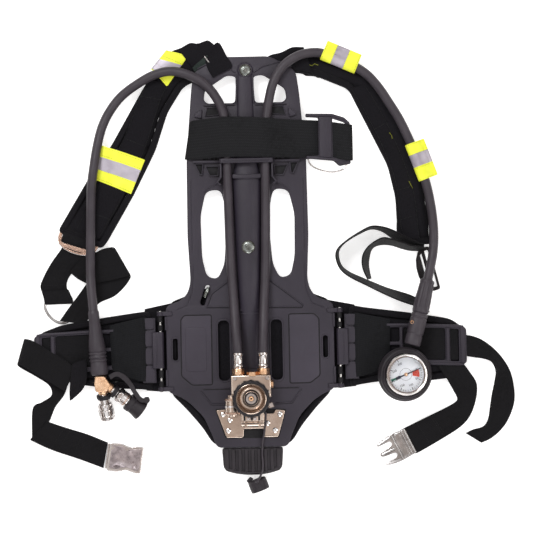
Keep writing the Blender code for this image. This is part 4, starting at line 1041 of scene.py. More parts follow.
def spine_piece():
    """The hollow rib up the middle, wide at the shoulders and narrow at the hips."""
    stations = [(400, 8, 2.4), (388, 9.5, 3.4), (350, 11, 4.2), (300, 13, 5.4), (262, 16.5, 8.4),
                (248, 19, 10.0), (237, 20.5, 11.0), (205, 19.6, 11.2), (166, 18.2, 11.2),
                (120, 16.8, 11.0), (80, 15.4, 10.4), (58, 14.6, 9.6), (52, 14.0, 6.2),
                (20, 12.0, 4.8), (-10, 11.0, 3.6), (-26, 10.0, 2.4)]
    corners, faces = [], []
    steps = 16
    for y, half, height in stations:
        for step in range(steps + 1):
            angle = math.pi * step / steps
            x = half * math.cos(angle)
            lift = height * math.sin(angle) ** 0.9 if 0 < step < steps else 0.0
            corners.append((x, y, PLATE_TOP - 0.5 + lift))
    wide = steps + 1
    for row in range(len(stations) - 1):
        for step in range(steps):
            a = row * wide + step
            faces.append((a, a + 1, a + wide + 1, a + wide))
        faces.append((row * wide, (row + 1) * wide, (row + 1) * wide + steps,
                      row * wide + steps))
    faces.append(tuple(range(wide)))
    faces.append(tuple(range((len(stations) - 1) * wide, len(stations) * wide)))
    return mesh_piece("plate_spine", corners, faces, sharp=30.0)


use(backplate(), "harness", PLASTIC, "plate_plastic", "backplate")
use(spine_piece(), "harness", PLASTIC, "plate_plastic")
# The grooves, hook pockets, bracket recess and gaps by the hose bridge are near-black sheets at the
# plate's top: painted shade, not cut grooves.
GROOVE_SHADE = (18.2, 18.42, 0.05)
shade_marks = []
RIGHT_LABEL = rounded([(54.8, 49), (90, 49), (97, 42), (97, -37.7), (83.4, -48), (54.8, -48)], 3.0)
LEFT_LABEL = rounded([(-97, 44), (-92, 50), (-54, 50), (-54.5, -48), (-82.7, -48), (-97.5, -35)],
                     3.0)
labels = [panel("label_plate", rounded([(-91, 33), (-62, 33), (-62, -29), (-91, -29)], 5.0),
                18.6, 19.6, 0.35)]
for label in (RIGHT_LABEL, LEFT_LABEL):
    labels.append(panel("label", grown(label, -0.8), PLATE_TOP - 0.6, 18.9, 0.4))
    shade_marks.append(panel("groove_shade", grown(label, 0.9), *GROOVE_SHADE, [grown(label, -0.5)]))
LINES = [[(-60.7, 60.2), (73.5, 57.4)], [(27.7, 97.4), (75.6, 60.6), (73.5, 57.4)],
         [(-29.2, 96.2), (-52.4, 79.2), (-59.0, 62.2)]]
for line in ([(70.9, -56.8), (56.9, -76.4), (34, -77)], [(67, -54.8), (30, -54.8)],
             [(58, 343.4), (14, 343.4)]):
    LINES += [line, mirrored(line)]
for line in LINES:
    shade_marks.append(rib("groove_shade", line, 1.3, *GROOVE_SHADE))
for sign in (-1, 1):
    for hook in ([(58, 259.4), (38.5, 259.4), (39.5, 244.6), (52, 244)],
                 [(73, 263.4), (60.5, 263.4), (62, 246.2), (66, 246.2)],
                 [(54, 342.6), (35, 342.6), (37, 329.4), (57, 328.4)]):
        hook = [(sign * x, y) for x, y in hook]
        shade_marks.append(panel("hook_shade", hook, 18.2, 18.5, 0.05))
bracket = [(-51.5, -82.4), (48.6, -84.2), (37.6, -124.6), (-37.8, -123.8)]
shade_marks.append(panel("bracket_seat_shade", rounded(bracket, 2.5), 18.2, 18.6, 0.1))
for side in (-1, 1):
    for left, right in ((41, 44), (46, 49.5), (53.5, 61)):
        shade_marks.append(side_box("gap_shade", side, (left, 267.2, 18.0), (right, 271.4, 18.9), 0.2))
use(join("plate_painted_shade", shade_marks), "harness", PAINTED_SHADE_BLACK, "plate_plastic")
use(join("plate_labels", labels), "harness", PLASTIC_LABEL, "plate_plastic")
rivets = []
for x, y, z, radius in ((1, 392.6, 21.6, 8.2), (0.2, 144.3, 28.6, 9.2)):
    rivets.append(lathe("rivet", [(0, 2.9), (radius * 0.5, 2.7), (radius * 0.8, 2.0),
                                  (radius, 0.6), (radius, -1.0), (0, -1.0)], (x, y, z)))
rivets.append(sweep("stud", [(-56.9, 89, 20), (-58.5, 85.2, 21), (-60.5, 80.5, 21),
                             (-62.5, 75.5, 19.8)], [2.2, 3.0, 3.1, 2.2], 16))
use(join("plate_rivets", rivets), "harness", PIN_STEEL, "steel")
repaint("left_hinge_pin", STEEL)
repaint("right_hinge_pin", STEEL)
# Thin near-black collars on the hinge axis between the eyes: painted shade in the hinge's gaps.
collars = []
for side in (-1, 1):
    for low, length in ((29.0, 8.0), (41.5, 8.4), (-49.8, 8.4), (-37.0, 11.0)):
        collars.append(lathe("collar", stub(3.4, length, 0.4), (side * HINGE_X, low, HINGE_Z),
                             (0, 1, 0), 24))
use(join("hinge_collars", collars), "harness", PAINTED_SHADE_BLACK, "plate_plastic")


# --------------------------------------------------------------------- bumper foot
def bumper_foot():
    """The ribbed rubber foot under the plate."""
    outline = rounded([(-43, -138), (43, -138), (41.5, -164), (38, -170), (24, -174), (9, -176),
                       (-9, -176), (-24, -174), (-38, -170), (-41.5, -164)], 4.0)
    parts = [panel("foot_base", outline, 0.3, 18.4, 2.4, segments=3)]
    for number in range(9):
        x = -36.0 + 9.0 * number
        low = -171.5 + 0.004 * x * x
        parts.append(panel("foot_rib", rounded([(x - 2.6, -139), (x + 2.6, -139), (x + 2.6, low),
                                                (x - 2.6, low)], 1.2), 17.5, 21.3, 1.0))
    band = [(-39, -165), (-26, -170.2), (-9, -172.6), (9, -172.6), (26, -170.2), (39, -165)]
    parts.append(panel("foot_band", rib_outline(band, 3.4), 10.0, 20.4, 1.2))
    return join("bumper_foot_look", parts)


use(bumper_foot(), "harness", RUBBER, "black_rubber", "bumper_foot")


# ---------------------------------------------------------------------------- pads
VOXEL = 5.0
CLOTH_FRAMES = 20
REST_GAP = 0.25
SEAM_DEPTH, SEAM_REACH, WRINKLE = 2.2, 3.5, 0.7
SLAB_LOW, SLAB_HIGH = 3.6, 8.6


def stuffed(name, outline, cap):
    """Padding: a thin slab, remeshed and blown up by the cloth solver by at most the cap."""
    slab = panel(name + "_slab", outline, SLAB_LOW, SLAB_HIGH, 2.5)
    remesh = slab.modifiers.new("remesh", "REMESH")
    remesh.mode = "VOXEL"
    remesh.voxel_size = VOXEL * MM
    mesh = baked(slab)
    pad = add_object(name, mesh)
    start = [vertex.co.copy() for vertex in mesh.vertices]
    solver = pad.modifiers.new("cloth", "CLOTH")
    solver.settings.use_pressure = True
    solver.settings.uniform_pressure_force = 4.0
    solver.settings.quality = 4
    solver.settings.effector_weights.gravity = 0.0
    solver.collision_settings.use_collision = False
    solver.point_cache.frame_start = 1
    solver.point_cache.frame_end = CLOTH_FRAMES
    for step in range(1, CLOTH_FRAMES + 1):
        SCENE.frame_set(step)
    graph = bpy.context.evaluated_depsgraph_get()
    swollen = [vertex.co.copy() for vertex in pad.evaluated_get(graph).data.vertices]
    pad.modifiers.clear()
    SCENE.frame_set(1)
    for vertex, old, new in zip(mesh.vertices, start, swollen):
        step = new - old
        if step.length > cap * MM:
            step = step.normalized() * cap * MM
        vertex.co = old + step
    pad.modifiers.new("smooth", "SUBSURF").levels = 1
    return add_object(name, baked(pad))


def settle(piece, top, seams):
    """Flattens a pad where it rests, sews its seams down and adds small wrinkles."""
    lines = [evenly_spaced([tuple(point) + (0,) for point in seam], 4.0, False)
             for seam in seams]
    for vertex in piece.data.vertices:
        spot = vertex.co
        if spot.z > 4.5 * MM:
            flow = noise.noise(Vector((spot.x / 0.03, spot.y / 0.03, 1.7)))
            small = noise.noise(Vector((spot.x / 0.011, spot.y / 0.011, 4.2)))
            spot.z += (flow * 0.7 + small * 0.3) * WRINKLE * MM
            flat = Vector((spot.x / MM, spot.y / MM, 0.0))
            nearest = min((min((flat - point).length for point in line) for line in lines),
                          default=1000.0)
            if nearest < SEAM_REACH * 2:
                spot.z -= SEAM_DEPTH * MM * math.exp(-(nearest / SEAM_REACH) ** 2)
        spot.z = min(max(spot.z, REST_GAP * MM), top * MM)
    piece.data.shade_smooth()
    return piece


LEFT_OUTER = [(-268.5, 171), (-222, 247), (-190, 291), (-145, 368), (-128, 395), (-107, 421),
              (-86, 428)]
LEFT_INNER = [(-31, 417), (-28, 398), (-60, 384), (-87, 372), (-110, 336), (-128, 283),
              (-160, 221), (-198, 157), (-206.5, 146.5)]
RIGHT_OUTER = [(60, 405), (85, 420), (120, 416), (156, 402), (178, 385), (192, 367), (205, 347),
               (219, 323), (231, 298), (244, 264), (255, 230), (262, 192), (265, 160), (262, 143)]
RIGHT_INNER = [(219, 143), (211, 158), (209, 210), (199, 255), (179, 296), (157, 341), (146, 364),
               (101, 383), (68, 392), (28, 386), (28, 402)]
LEFT_OUTLINE = LEFT_OUTER + [(-62, 434), (-42, 431)] + LEFT_INNER
RIGHT_OUTLINE = RIGHT_OUTER + RIGHT_INNER
LEFT_STRIP = [((-240, 176), (-210, 162)), ((-212, 226), (-180, 212)), ((-192, 262), (-160, 250)),
              ((-169, 306), (-141, 292)), ((-145, 362), (-119, 356)), ((-132, 384), (-108, 374))]
RIGHT_STRIP = [((224, 151), (241, 151)), ((216.5, 165), (239, 167)), ((214, 190), (237.5, 192)),
               ((212, 218), (233.5, 219)), ((204, 252), (222.5, 256)), ((186, 296), (201, 309)),
               ((163, 342), (181, 348)), ((150, 365), (168, 369))]


def pad_cover(name, outline, body, replaced, cap, seams):
    piece = stuffed(name, grown(rounded(outline, 8.0), -1.2), cap)
    settle(piece, PAD_TOP - 0.1, seams)
    use(piece, body, CORDURA, "pad_fabric", replaced)


def edge_tape(name, outline, body):
    """The bound edge of a pad: a folded tape round its rim."""
    loop = [tuple(point[:2]) for point in grown(rounded(outline, 9.0, 6), -1.6)]
    corners, faces, uvs = [], [], []
    count = len(loop)
    height = 7.0
    section = [(0.0, -4.8), (1.5, -3.4), (1.9, 0.0), (1.5, 3.0), (0.0, 4.2), (-2.6, 4.9),
               (-6.4, 5.2), (-7.4, 4.2), (-7.4, -4.2), (-6.4, -5.4), (-2.6, -5.4)]
    travelled = 0.0
    outward = grown(loop, 1.0)
    for index, point in enumerate(loop):
        side = (Vector(outward[index]) - Vector(point)).normalized()
        if index:
            travelled += (Vector(point) - Vector(loop[index - 1])).length
        for step, (out, lift) in enumerate(section):
            corners.append((point[0] + side.x * out, point[1] + side.y * out, height + lift))
            uvs.append((step * 1.6, travelled))
    wide = len(section)
    for row in range(count):
        a, b = row * wide, ((row + 1) % count) * wide
        for step in range(wide):
            after = (step + 1) % wide
            faces.append((a + step, a + after, b + after, b + step))
    use(mesh_piece(name, corners, faces, uvs, sharp=70.0), body, BINDING, "pad_fabric")


def at_height(points, height):
    return [(point[0], point[1], height) for point in points]


def rail(edges, share, height):
    """The line at that share of a strip's width."""
    return at_height([Vector(a).lerp(Vector(b), share) for a, b in edges], height)


left_seams = [[(-170, 301), (-139, 288)], [(-147, 360), (-117, 354)],
              [(-226, 200), (-190, 186)]]
right_seams = [[(180, 305), (197, 315)], [(213, 220), (233, 225)], [(214, 178), (237, 184)]]
pad_cover("left_shoulder_pad_look", LEFT_OUTLINE, "harness", "left_shoulder_pad", 6.0, left_seams)
pad_cover("right_shoulder_pad_look", RIGHT_OUTLINE, "harness", "right_shoulder_pad", 6.0,
          right_seams)
edge_tape("left_pad_binding", LEFT_OUTLINE, "harness")
edge_tape("right_pad_binding", RIGHT_OUTLINE, "harness")
for name, strip, seams in (("left", LEFT_STRIP, left_seams), ("right", RIGHT_STRIP, right_seams)):
    edges = [at_height(pair, 12.6) for pair in strip]
    cover = ribbon(name + "_pad_strip", edges, 1.4, 8, crown=0.7)
    use(cover, "harness", CORDURA, "pad_fabric")
    rows = [dashes("row", rail(strip, share, 13.6), 6.0, 0.2, 0.42) for share in (-0.01, 1.01)]
    for seam in seams:
        rows.append(dashes("row", at_height(seam, 14.0), 6.0, 0.2, 0.5, False))
    use(join(name + "_pad_stitches", rows), "harness", THREAD, "webbing")


# ---------------------------------------------------------------- lumbar and hips
LUMBAR_EDGE = [(60, 88), (113, 68), (113, -60), (90, -84), (70, -108), (57, -129), (46, -136)]
LUMBAR_OUTLINE = LUMBAR_EDGE + mirrored(LUMBAR_EDGE)
RIGHT_WING = [(140, 60), (160, 56), (225, 47), (261, 41), (283, 37), (303, 22), (303, -27),
              (281, -46), (252, -49), (177, -49), (150, -53), (140, -56)]
LEFT_WING = [(-140, -56), (-150, -53), (-205, -50), (-255, -42), (-272, -32), (-296, 4),
             (-298, 28), (-265, 40), (-205, 49), (-160, 55), (-140, 57)]
pad_cover("lumbar_pad_look", LUMBAR_OUTLINE, "harness", "lumbar_pad", 5.0,
          [[(-100, 60), (100, 60)], [(-95, -55), (95, -55)]])
edge_tape("lumbar_binding", LUMBAR_OUTLINE, "harness")
for side, outline, body in (("right", RIGHT_WING, "right_wing"), ("left", LEFT_WING, "left_wing")):
    sign = 1 if side == "right" else -1
    pad_cover(side + "_wing_pad_look", outline, body, side + "_wing_pad", 5.0,
              [[(sign * 150, 46), (sign * 292, 28)], [(sign * 150, -44), (sign * 280, -38)]])
    edge_tape(side + "_wing_binding", outline, body)
    fold = [((sign * x, 68.5 - (x - 106) * 0.2, z), (sign * x, -57 + abs(x - 127) * 0.1, z))
            for x, z in ((106, 6.5), (113, 5.4), (120, 4.6), (127, 4.2), (134, 4.6), (141, 5.4),
                         (148, 6.5))]
    bridge = ribbon(side + "_pad_bridge", fold, 3.4, 5,
                    (0, 0.02, 0.06, 0.2, 0.4, 0.6, 0.8, 0.94, 0.98, 1))
    use_blend(bridge, "harness", body, (sign * 112, 0, 0), (sign * 141, 0, 0), CORDURA,
              "pad_fabric")


# ------------------------------------------------------------------- hinged wings
def wing_plate(sign):
    """The hinged leaf between the backplate and a hip pad."""
    parts = [side_box("leaf", sign, (133, -44, 13.4), (152, 47.5, 15.6)),
             side_box("knuckle", sign, (123.0, -23.6, 14.0), (137.5, 27.6, 22.4), 1.6),
             side_box("knuckle_ridge", sign, (130.5, -20, 21.8), (132, 24, 23.0), 0.4)]
    for low, high in ((31.8, 47.2), (7.6, 29.2), (-17.4, 5.0), (-42.6, -20.0)):
        outline = rounded([(sign * 135, low), (sign * 151.6, low), (sign * 151.6, high),
                           (sign * 135, high)], 2.6)
        parts.append(panel("cell", outline, 15.0, 17.9, 0.6))
        parts.append(panel("cell_face", grown(outline, -3.2), 17.6, 18.2, 0.25))
    parts.append(lathe("eye", stub(4.5, 51.2, 0.6), (sign * HINGE_X, -23.6, HINGE_Z),
                       (0, 1, 0), 28))
    return join("wing_hinge", parts)


def belt_frame(sign):
    """The frame on a hip pad that the waist webbing runs through."""
    def flip(points):
        return points if sign > 0 else mirrored(points)

    outline = rounded(flip([(190, 33), (246, 31.5), (297, 28.5), (304, 23), (304, -24), (297, -29),
                            (240, -26.5), (190, -24)]), 3.0)
    holes = [rounded(flip([(215, 26.5), (274, 24.5), (274, -20.5), (215, -19)]), 3.0),
             rounded(flip([(281, 23.5), (293, 22.5), (293, -22.5), (281, -22)]), 1.5),
             rounded(flip([(194, 27), (210, 27), (210, 7), (194, 7)]), 2.0),
             rounded(flip([(194, 2), (210, 2), (210, -18), (194, -18)]), 2.0)]
    parts = [panel("frame_base", outline, 13.4, 17.4, 0.9, holes)]
    parts.append(rib("top_rail", flip([(192, 31), (246, 29.4), (300, 26)]), 3.4, 16.6, 19.4, 0.8))
    parts.append(rib("low_rail", flip([(240, -24.2), (300, -27)]), 3.0, 16.6, 19.0, 0.8))
    parts.append(rib("bar", flip([(277.6, 25), (277.6, -21)]), 4.6, 16.2, 20.0, 1.2))
    parts.append(rib("end_bar", flip([(298.6, 25), (298.6, -25)]), 6.4, 16.2, 19.6, 1.2))
    parts.append(rib("inner_lip", flip([(213, 27), (213, -20)]), 2.0, 16.8, 18.6, 0.6))
    return join("belt_guide", parts)


ELASTIC_PANEL = [(146, 48.5, 146, -42, 16.2), (151, 48.5, 151, -41, 19.0),
                 (156, 47.5, 156, -40.5, 18.6), (170, 44.5, 170, -36.5, 16.4),
                 (182, 42, 180, -32, 16.6), (191, 39.6, 188, -27, 18.4),
                 (197, 38.5, 195, -25, 16.6)]
INNER_BELT = [(214, 26.5, 216, -18.5, 14.9), (240, 25.6, 240, -20, 15.3),
              (268, 24.8, 268, -20.5, 15.2), (278, 24, 278, -20.5, 15.0),
              (292, 22.5, 292, -21, 14.8)]


def sided(rows, sign):
    """Edge points from rows of (upper x, upper y, lower x, lower y, z) on one side."""
    return [((sign * above, high, z), (sign * below, low, z)) for above, high, below, low, z in rows]


for sign, side in ((-1, "left"), (1, "right")):
    body = side + "_wing"
    plate = wing_plate(sign)
    plate.name = side + "_wing_hinge_look"
    use(plate, body, PLASTIC, "plate_plastic", side + "_wing_plate")
    guide = belt_frame(sign)
    guide.name = side + "_belt_guide_look"
    use(guide, body, PLASTIC, "plate_plastic", side + "_belt_frame")
    strap(side + "_elastic_panel", sided(ELASTIC_PANEL, sign), body, material=ELASTIC,
          thickness=2.0, columns=[step / 12 for step in range(13)])
    strap(side + "_inner_belt", sided(INNER_BELT, sign), body)


# ------------------------------------------------------------------ waist webbing
LEFT_BELT = [((-246, -22, 20.5), (-262, -53, 18.5)), ((-262, -8, 20.6), (-279, -42, 19.4)),
             ((-280, 3, 20.4), (-297, -31, 19.3)), ((-303, 18, 20.0), (-317, -18, 18.6)),
             ((-316, 22, 16.5), (-327, -14, 14)), ((-314, 18, 11), (-326, -18, 8)),
             ((-290, 0, 8.5), (-303, -32, 6.4)), ((-268, -17, 7), (-285, -45, 5)),
             ((-259, -38, 5.5), (-282.5, -59, 4)), ((-264, -58, 4.2), (-296, -68, 3)),
             ((-277, -75, 3), (-309.5, -77, 2.2)), ((-285, -93, 1.8), (-311.5, -118, 1.8)),
             ((-288, -95.2, 3.2), (-313.5, -121, 3.2)),
             ((-283, -97.5, 4.7), (-308, -124, 4.7)), ((-262, -105, 5.0), (-283, -136, 5.0)),
             ((-232, -115, 5.2), (-244, -150, 5.2)), ((-204, -127, 5.6), (-211, -163, 5.6))]
RIGHT_BELT = [((262, -26, 15.4), (300, -27, 15.4)), ((266, -33, 15.8), (307, -37, 15.4)),
              ((275, -47, 15.2), (317, -53, 10.5)), ((284, -63, 8.6), (318, -70, 4.4)),
              ((290, -75, 3.4), (313, -90, 2.2)), ((287, -81, 2.6), (305, -105, 2.2)),
              ((270, -90, 3.6), (291, -118, 3.2)), ((246, -101, 4.2), (266, -133, 4.0)),
              ((217, -114.5, 4.3), (237, -149, 4.3)),
              ((210.4, -117.6, 4.3), (229.6, -152.2, 4.3))]
BELT_TAIL = [((304, 14, 15.6), (304, -16, 15.6)), ((314, 12, 17), (315, -18, 14.5)),
             ((327, 6, 19), (327, -20, 12.5)), ((341, -5, 20.4), (339, -25, 9)),
             ((354, -20, 20.6), (345, -38, 5.4)), ((364, -38, 20.2), (343, -54, 3.4)),
             ((369, -60, 19), (339, -72, 2.6)), ((369, -82, 17.5), (336, -90, 2.4)),
             ((361, -105, 14), (333, -106, 2.2)), ((350, -121, 10.5), (326, -116, 2.0)),
             ((336, -133, 7), (312, -120, 1.8)), ((323, -139, 4), (301, -125, 1.6))]


def cross_stitches(name, edges, at, body, lift=1.0):
    """Rows of thread across a strap, between two of its stations."""
    rows = []
    for index, share in at:
        a = Vector(edges[index][0]).lerp(Vector(edges[index + 1][0]), share)
        b = Vector(edges[index][1]).lerp(Vector(edges[index + 1][1]), share)
        up = Vector((0, 0, lift))
        rows.append(dashes("row", [a.lerp(b, 0.06) + up, a.lerp(b, 0.94) + up], 2.4, 1.2,
                           smooth=False))
    use(join(name, rows), body, THREAD, "webbing")


strap("left_belt_look", LEFT_BELT, "left_wing", "left_belt_strap")
strap("right_belt_look", RIGHT_BELT, "right_wing", "right_belt_strap")
strap("belt_tail_look", BELT_TAIL, "right_wing", "belt_tail")
cross_stitches("left_belt_stitches", LEFT_BELT, [(14, 0.2), (14, 0.75), (13, 0.9)], "left_wing")
cross_stitches("right_belt_stitches", RIGHT_BELT, [(6, 0.7), (6, 0.8), (7, 0.5)], "right_wing")
keeper = [((-250, -14, 21.5), (-232, -8, 21.5)), ((-252, -26, 22.5), (-230, -17, 22.5)),
          ((-254, -40, 22.2), (-231, -38, 22.2)), ((-255.5, -54, 19), (-238, -52, 19)),
          ((-256, -66, 14), (-252, -64, 14))]
strap("belt_keeper", keeper, "left_wing", material=BINDING, thickness=2.4)


# ------------------------------------------------------------------- belt buckles
def dented(piece):
    """Small dents over a cast surface."""
    for vertex in piece.data.vertices:
        vertex.co.z += noise.noise(vertex.co / 0.004) * 0.3 * MM
    return piece


def finely_divided(shape):
    bmesh.ops.triangulate(shape, faces=shape.faces)
    bmesh.ops.subdivide_edges(shape, edges=shape.edges, cuts=2, use_grid_fill=True)


def female_buckle():
    """The shell, its cast face and the bar that holds the belt."""
    outline = rounded([(-24, 19.5), (-6, 20), (4, 16.5), (14, 19), (24, 19.5), (24, -19),
                       (14, -18.4), (4, -15.5), (-8, -20), (-24, -20)], 3.5, 5)
    inner = rounded([(-21, 17), (-7, 17.4), (4, 13.8), (21.5, 16.8), (21.5, -15.5), (12, -14.6),
                     (4, -11.6), (-9, -16), (-21, -16.4)], 3.0, 4)
    parts = [panel("shell_low", outline, 0.2, 2.6, 0.9),
             panel("shell_top", outline, 8.6, 11.0, 1.1, segments=3),
             panel("shell_back", rounded([(-24, 19), (-11, 19), (-11, -19), (-24, -19)], 2.5),
                   1.5, 9.8, 0.6)]
    for sign in (-1, 1):
        side = [(-12, sign * 15.8), (4, sign * 14.2), (23, sign * 17.4)]
        parts.append(panel("shell_side", rib_outline(side, 3.4), 1.5, 9.8, 0.5))
    frame_part = join("female_buckle_look", parts)
    face = panel("buckle_face", inner, 10.2, 11.1, 0.4)
    edit_mesh(face.data, finely_divided)
    bar = panel("belt_bar", rounded([(-27, 18), (-22.5, 18), (-22.5, -18), (-27, -18)], 1.5),
                2.5, 7.5, 1.0)
    return frame_part, dented(face), join("buckle_bar", [bar])


for piece, material, replaced in zip(female_buckle(), (CHROME, CAST, CHROME),
                                     (["female_buckle"], [], [])):
    use(placed(piece, (-180, -150, 0.2), -9), "left_wing", material, "chrome", *replaced)


def male_buckle():
    """The half with three prongs, its raised face and its belt bars."""
    half = [(-22, 19), (-4, 20), (4, 20), (13, 18.9), (21.5, 16.9), (24.4, 15.0), (23.4, 12.6),
            (15, 12.4), (8.4, 12.2), (4.6, 11.0), (3.2, 8.6), (4.4, 6.2), (8.2, 5.2), (15, 4.4),
            (23, 3.4), (25.4, 1.4)]
    outline = [(x, -y) for x, y in reversed(half)] + half
    parts = [panel("fork", rounded(outline[::-1], 1.2, 4), 1.2, 6.0, 0.85, segments=4)]
    parts.append(panel("base", rounded([(-23, 18.5), (-4, 19), (-4, -19), (-23, -18.5)], 2.5, 4),
                       1.0, 6.6, 1.2, segments=3))
    parts.append(panel("raised", rounded([(-13, 16.5), (-4, 17), (-4, -17), (-13, -16.5)], 2.0),
                       6.0, 7.4, 0.6, segments=3))
    for x, half_width, height, radius in ((-20.6, 18.6, 5.2, 2.3), (-16.0, 17.6, 5.9, 1.5),
                                          (-1.2, 18.4, 5.0, 1.9)):
        parts.append(sweep("bar", [(x, -half_width, height), (x, half_width, height)], radius, 16))
    for sign in (-1, 1):
        parts.append(sweep("prong", [(2, sign * 17.2, 4.6), (12, sign * 15.8, 5.2),
                                     (22, sign * 14.4, 4.6)], 2.2, 12))
    parts.append(sweep("prong", [(3, 0, 4.8), (12, 0, 5.4), (23, 0, 4.6)], 2.5, 12))
    return join("male_buckle_look", parts)


use(placed(male_buckle(), (203, -143, 0), 206), "right_wing", BUCKLE_STEEL, "chrome",
    "male_buckle")


# --------------------------------------------------------- shoulder strap webbing
LEFT_PULL = [((-259, 157, 5.4), (-213, 141, 5.6)), ((-263.5, 148, 5.8), (-218, 129.5, 6.0)),
             ((-269.5, 140, 5.6), (-228, 125, 5.9)),
             ((-278.5, 128, 4.4), (-238.5, 121, 4.8)), ((-288, 112, 3), (-252, 110, 3.2)),
             ((-294.5, 97, 2.4), (-257.5, 98, 2.4)), ((-293, 87, 2.0), (-256, 88.5, 2.0)),
             ((-290, 77, 1.3), (-250, 78, 1.3)), ((-289, 69.8, 3.5), (-249, 70.6, 3.5)),
             ((-290, 76.5, 5.8), (-250, 77.5, 5.8)), ((-292, 88, 5.0), (-255, 90, 5.0))]
LEFT_LOWER = [((-229, 140, 7.6), (-252.5, 114.5, 7.2)), ((-221, 139, 8.8), (-243, 106, 7.8)),
              ((-213, 142.5, 10), (-233, 100, 8.4)), ((-207, 145.5, 11), (-226, 98, 9)),
              ((-199.5, 147.5, 12), (-200, 101, 8.4)), ((-191.5, 148.5, 11.6), (-172, 107, 8)),
              ((-188.5, 146.6, 9), (-167.5, 108, 5.6)), ((-192, 144, 6.4), (-168, 103, 3)),
              ((-203, 132, 5), (-177, 91, 1.8)), ((-215, 117, 4.2), (-191, 79, 1.5)),
              ((-230, 97, 4.2), (-212, 70, 1.8)), ((-246, 75.5, 5.2), (-221, 58, 4)),
              ((-258, 60, 7.6), (-226, 49, 7.6)), ((-268, 46, 9.8), (-234, 41, 10.4))]
RIGHT_LOWER = [((247, 136, 2), (248, 144, 14)), ((237, 137, 1.6), (239, 146, 20)),
               ((226, 139, 1.4), (230, 150, 27)), ((213, 145.5, 1.2), (217, 156, 33)),
               ((201, 154, 1.2), (204, 163, 36)), ((189, 162.5, 1.2), (190, 168, 36.6)),
               ((174, 166, 1.2), (173, 169.5, 36.8)),
               ((158, 160, 1.2), (156.5, 162, 37)), ((140, 150, 1.2), (137.5, 150, 37)),
               ((129, 139, 1.2), (124.5, 138, 37)), ((127.5, 127, 1.2), (122.5, 125, 37)),
               ((132, 114.5, 1.2), (129, 109.5, 36.8)), ((143, 105.5, 1.2), (142.5, 98.5, 36.2)),
               ((160, 97.5, 1.2), (162.5, 88, 35)), ((178, 89.5, 1.2), (182.5, 77.5, 33)),
               ((195, 82.5, 1.4), (202, 68, 29)), ((212, 77, 1.8), (220, 60.5, 22)),
               ((228, 71.5, 2.4), (238, 54.5, 17)), ((243, 63, 4), (253, 47, 15))]
RIGHT_PULL = [((246.5, 133.5, 2), (247.5, 140, 15)), ((237, 134, 1.6), (238, 141, 21)),
              ((226, 135, 1.4), (228, 142, 28)), ((214, 138.5, 1.2), (216, 146.5, 33)),
              ((202, 142.5, 1.2), (203.5, 150.5, 34)), ((189.5, 143.5, 1.2), (189.5, 153.5, 34.4)),
              ((179.5, 141.5, 1.2), (177.5, 148.5, 34.6)), ((173.5, 136, 1.2), (167.5, 141, 34.6)),
              ((171, 127, 1.2), (160.5, 131, 34.6)), ((169.5, 117, 1.2), (158.5, 119.5, 34.6)),
              ((170.5, 106.5, 1.2), (160.5, 108, 34)), ((172.5, 96, 1.2), (166.5, 95, 33))]
strap("left_pull_look", LEFT_PULL, "harness", "left_pull_strap")
strap("right_pull_look", RIGHT_PULL, "harness", "right_pull_strap")
use_blend(ribbon("left_lower_look", LEFT_LOWER), "harness", "left_wing", (-215, 100, 5),
          (-250, 52, 5), WEBBING, "webbing", "left_lower_webbing")
use_blend(ribbon("right_lower_look", RIGHT_LOWER), "harness", "right_wing", (205, 95, 5),
          (240, 56, 5), WEBBING, "webbing", "right_lower_webbing")
cross_stitches("pull_stitches", LEFT_PULL, [(5, 0.1)], "harness", 3.6)


def slider(name, place, node_name, material, wide=1.0):
    """A ladder-lock: a bar between two slots, with an arched lower rim."""
    outline = rounded([(-31, 12), (31, 12), (32, 2), (28, -5), (18, -11), (6, -13.4), (-6, -13.4),
                       (-18, -11), (-28, -5), (-32, 2)], 3.0, 4)
    holes = [rounded([(-26.5, 8.6), (26.5, 8.6), (26.5, 3.4), (-26.5, 3.4)], 1.2),
             rounded([(-24, -1.2), (24, -1.2), (22, -3.8), (-22, -3.8)], 1.0)]
    frame_part = panel(name, outline, 0.2, 3.0, 0.45, holes, 3)
    bar = sweep(name + "_bar", [(-28, 1.2, 2.6), (28, 1.2, 2.6)], 1.2, 14)
    arch = [(-30, -1.5), (-26.5, -5.6), (-17.5, -9.6), (-6, -11.8), (6, -11.8), (17.5, -9.6),
            (26.5, -5.6), (30, -1.5)]
    inner = [(-20, -5.2), (-10, -6.9), (0, -7.4), (10, -6.9), (20, -5.2)]
    teeth = [rib("teeth", arch, 1.5, 2.6, 4.2, 0.5), rib("teeth", inner, 1.2, 2.6, 3.5, 0.3)]
    look = join(name, [frame_part, bar] + teeth)
    for vertex in look.data.vertices:
        vertex.co.x *= wide
    use(placed(look, *place), "harness", material, "brass", node_name)


LEFT_SLIDER = ((-240.6, 153.5, 7.3), -18)
RIGHT_SLIDER = ((251, 107, 1.0), -76)
slider("left_slider_look", LEFT_SLIDER, "left_slider_buckle", COPPER, 0.92)
# The right slider is the same ladder-lock as the copper left one, coloured near-black: painted shade
# under the hose.
slider("right_slider_look", RIGHT_SLIDER, "right_slider_buckle", STEEL_PAINTED_SHADE)
rim = sweep("left_slider_rim", [(-25.5, -6.2, 2.4), (-16.6, -11.2, 2.4), (-6, -13.6, 2.4),
                                (6, -13.6, 2.4), (16.6, -11.2, 2.4), (25.5, -6.2, 2.4)], 0.7, 10)
use(placed(rim, *LEFT_SLIDER), "harness", CHROME, "chrome")
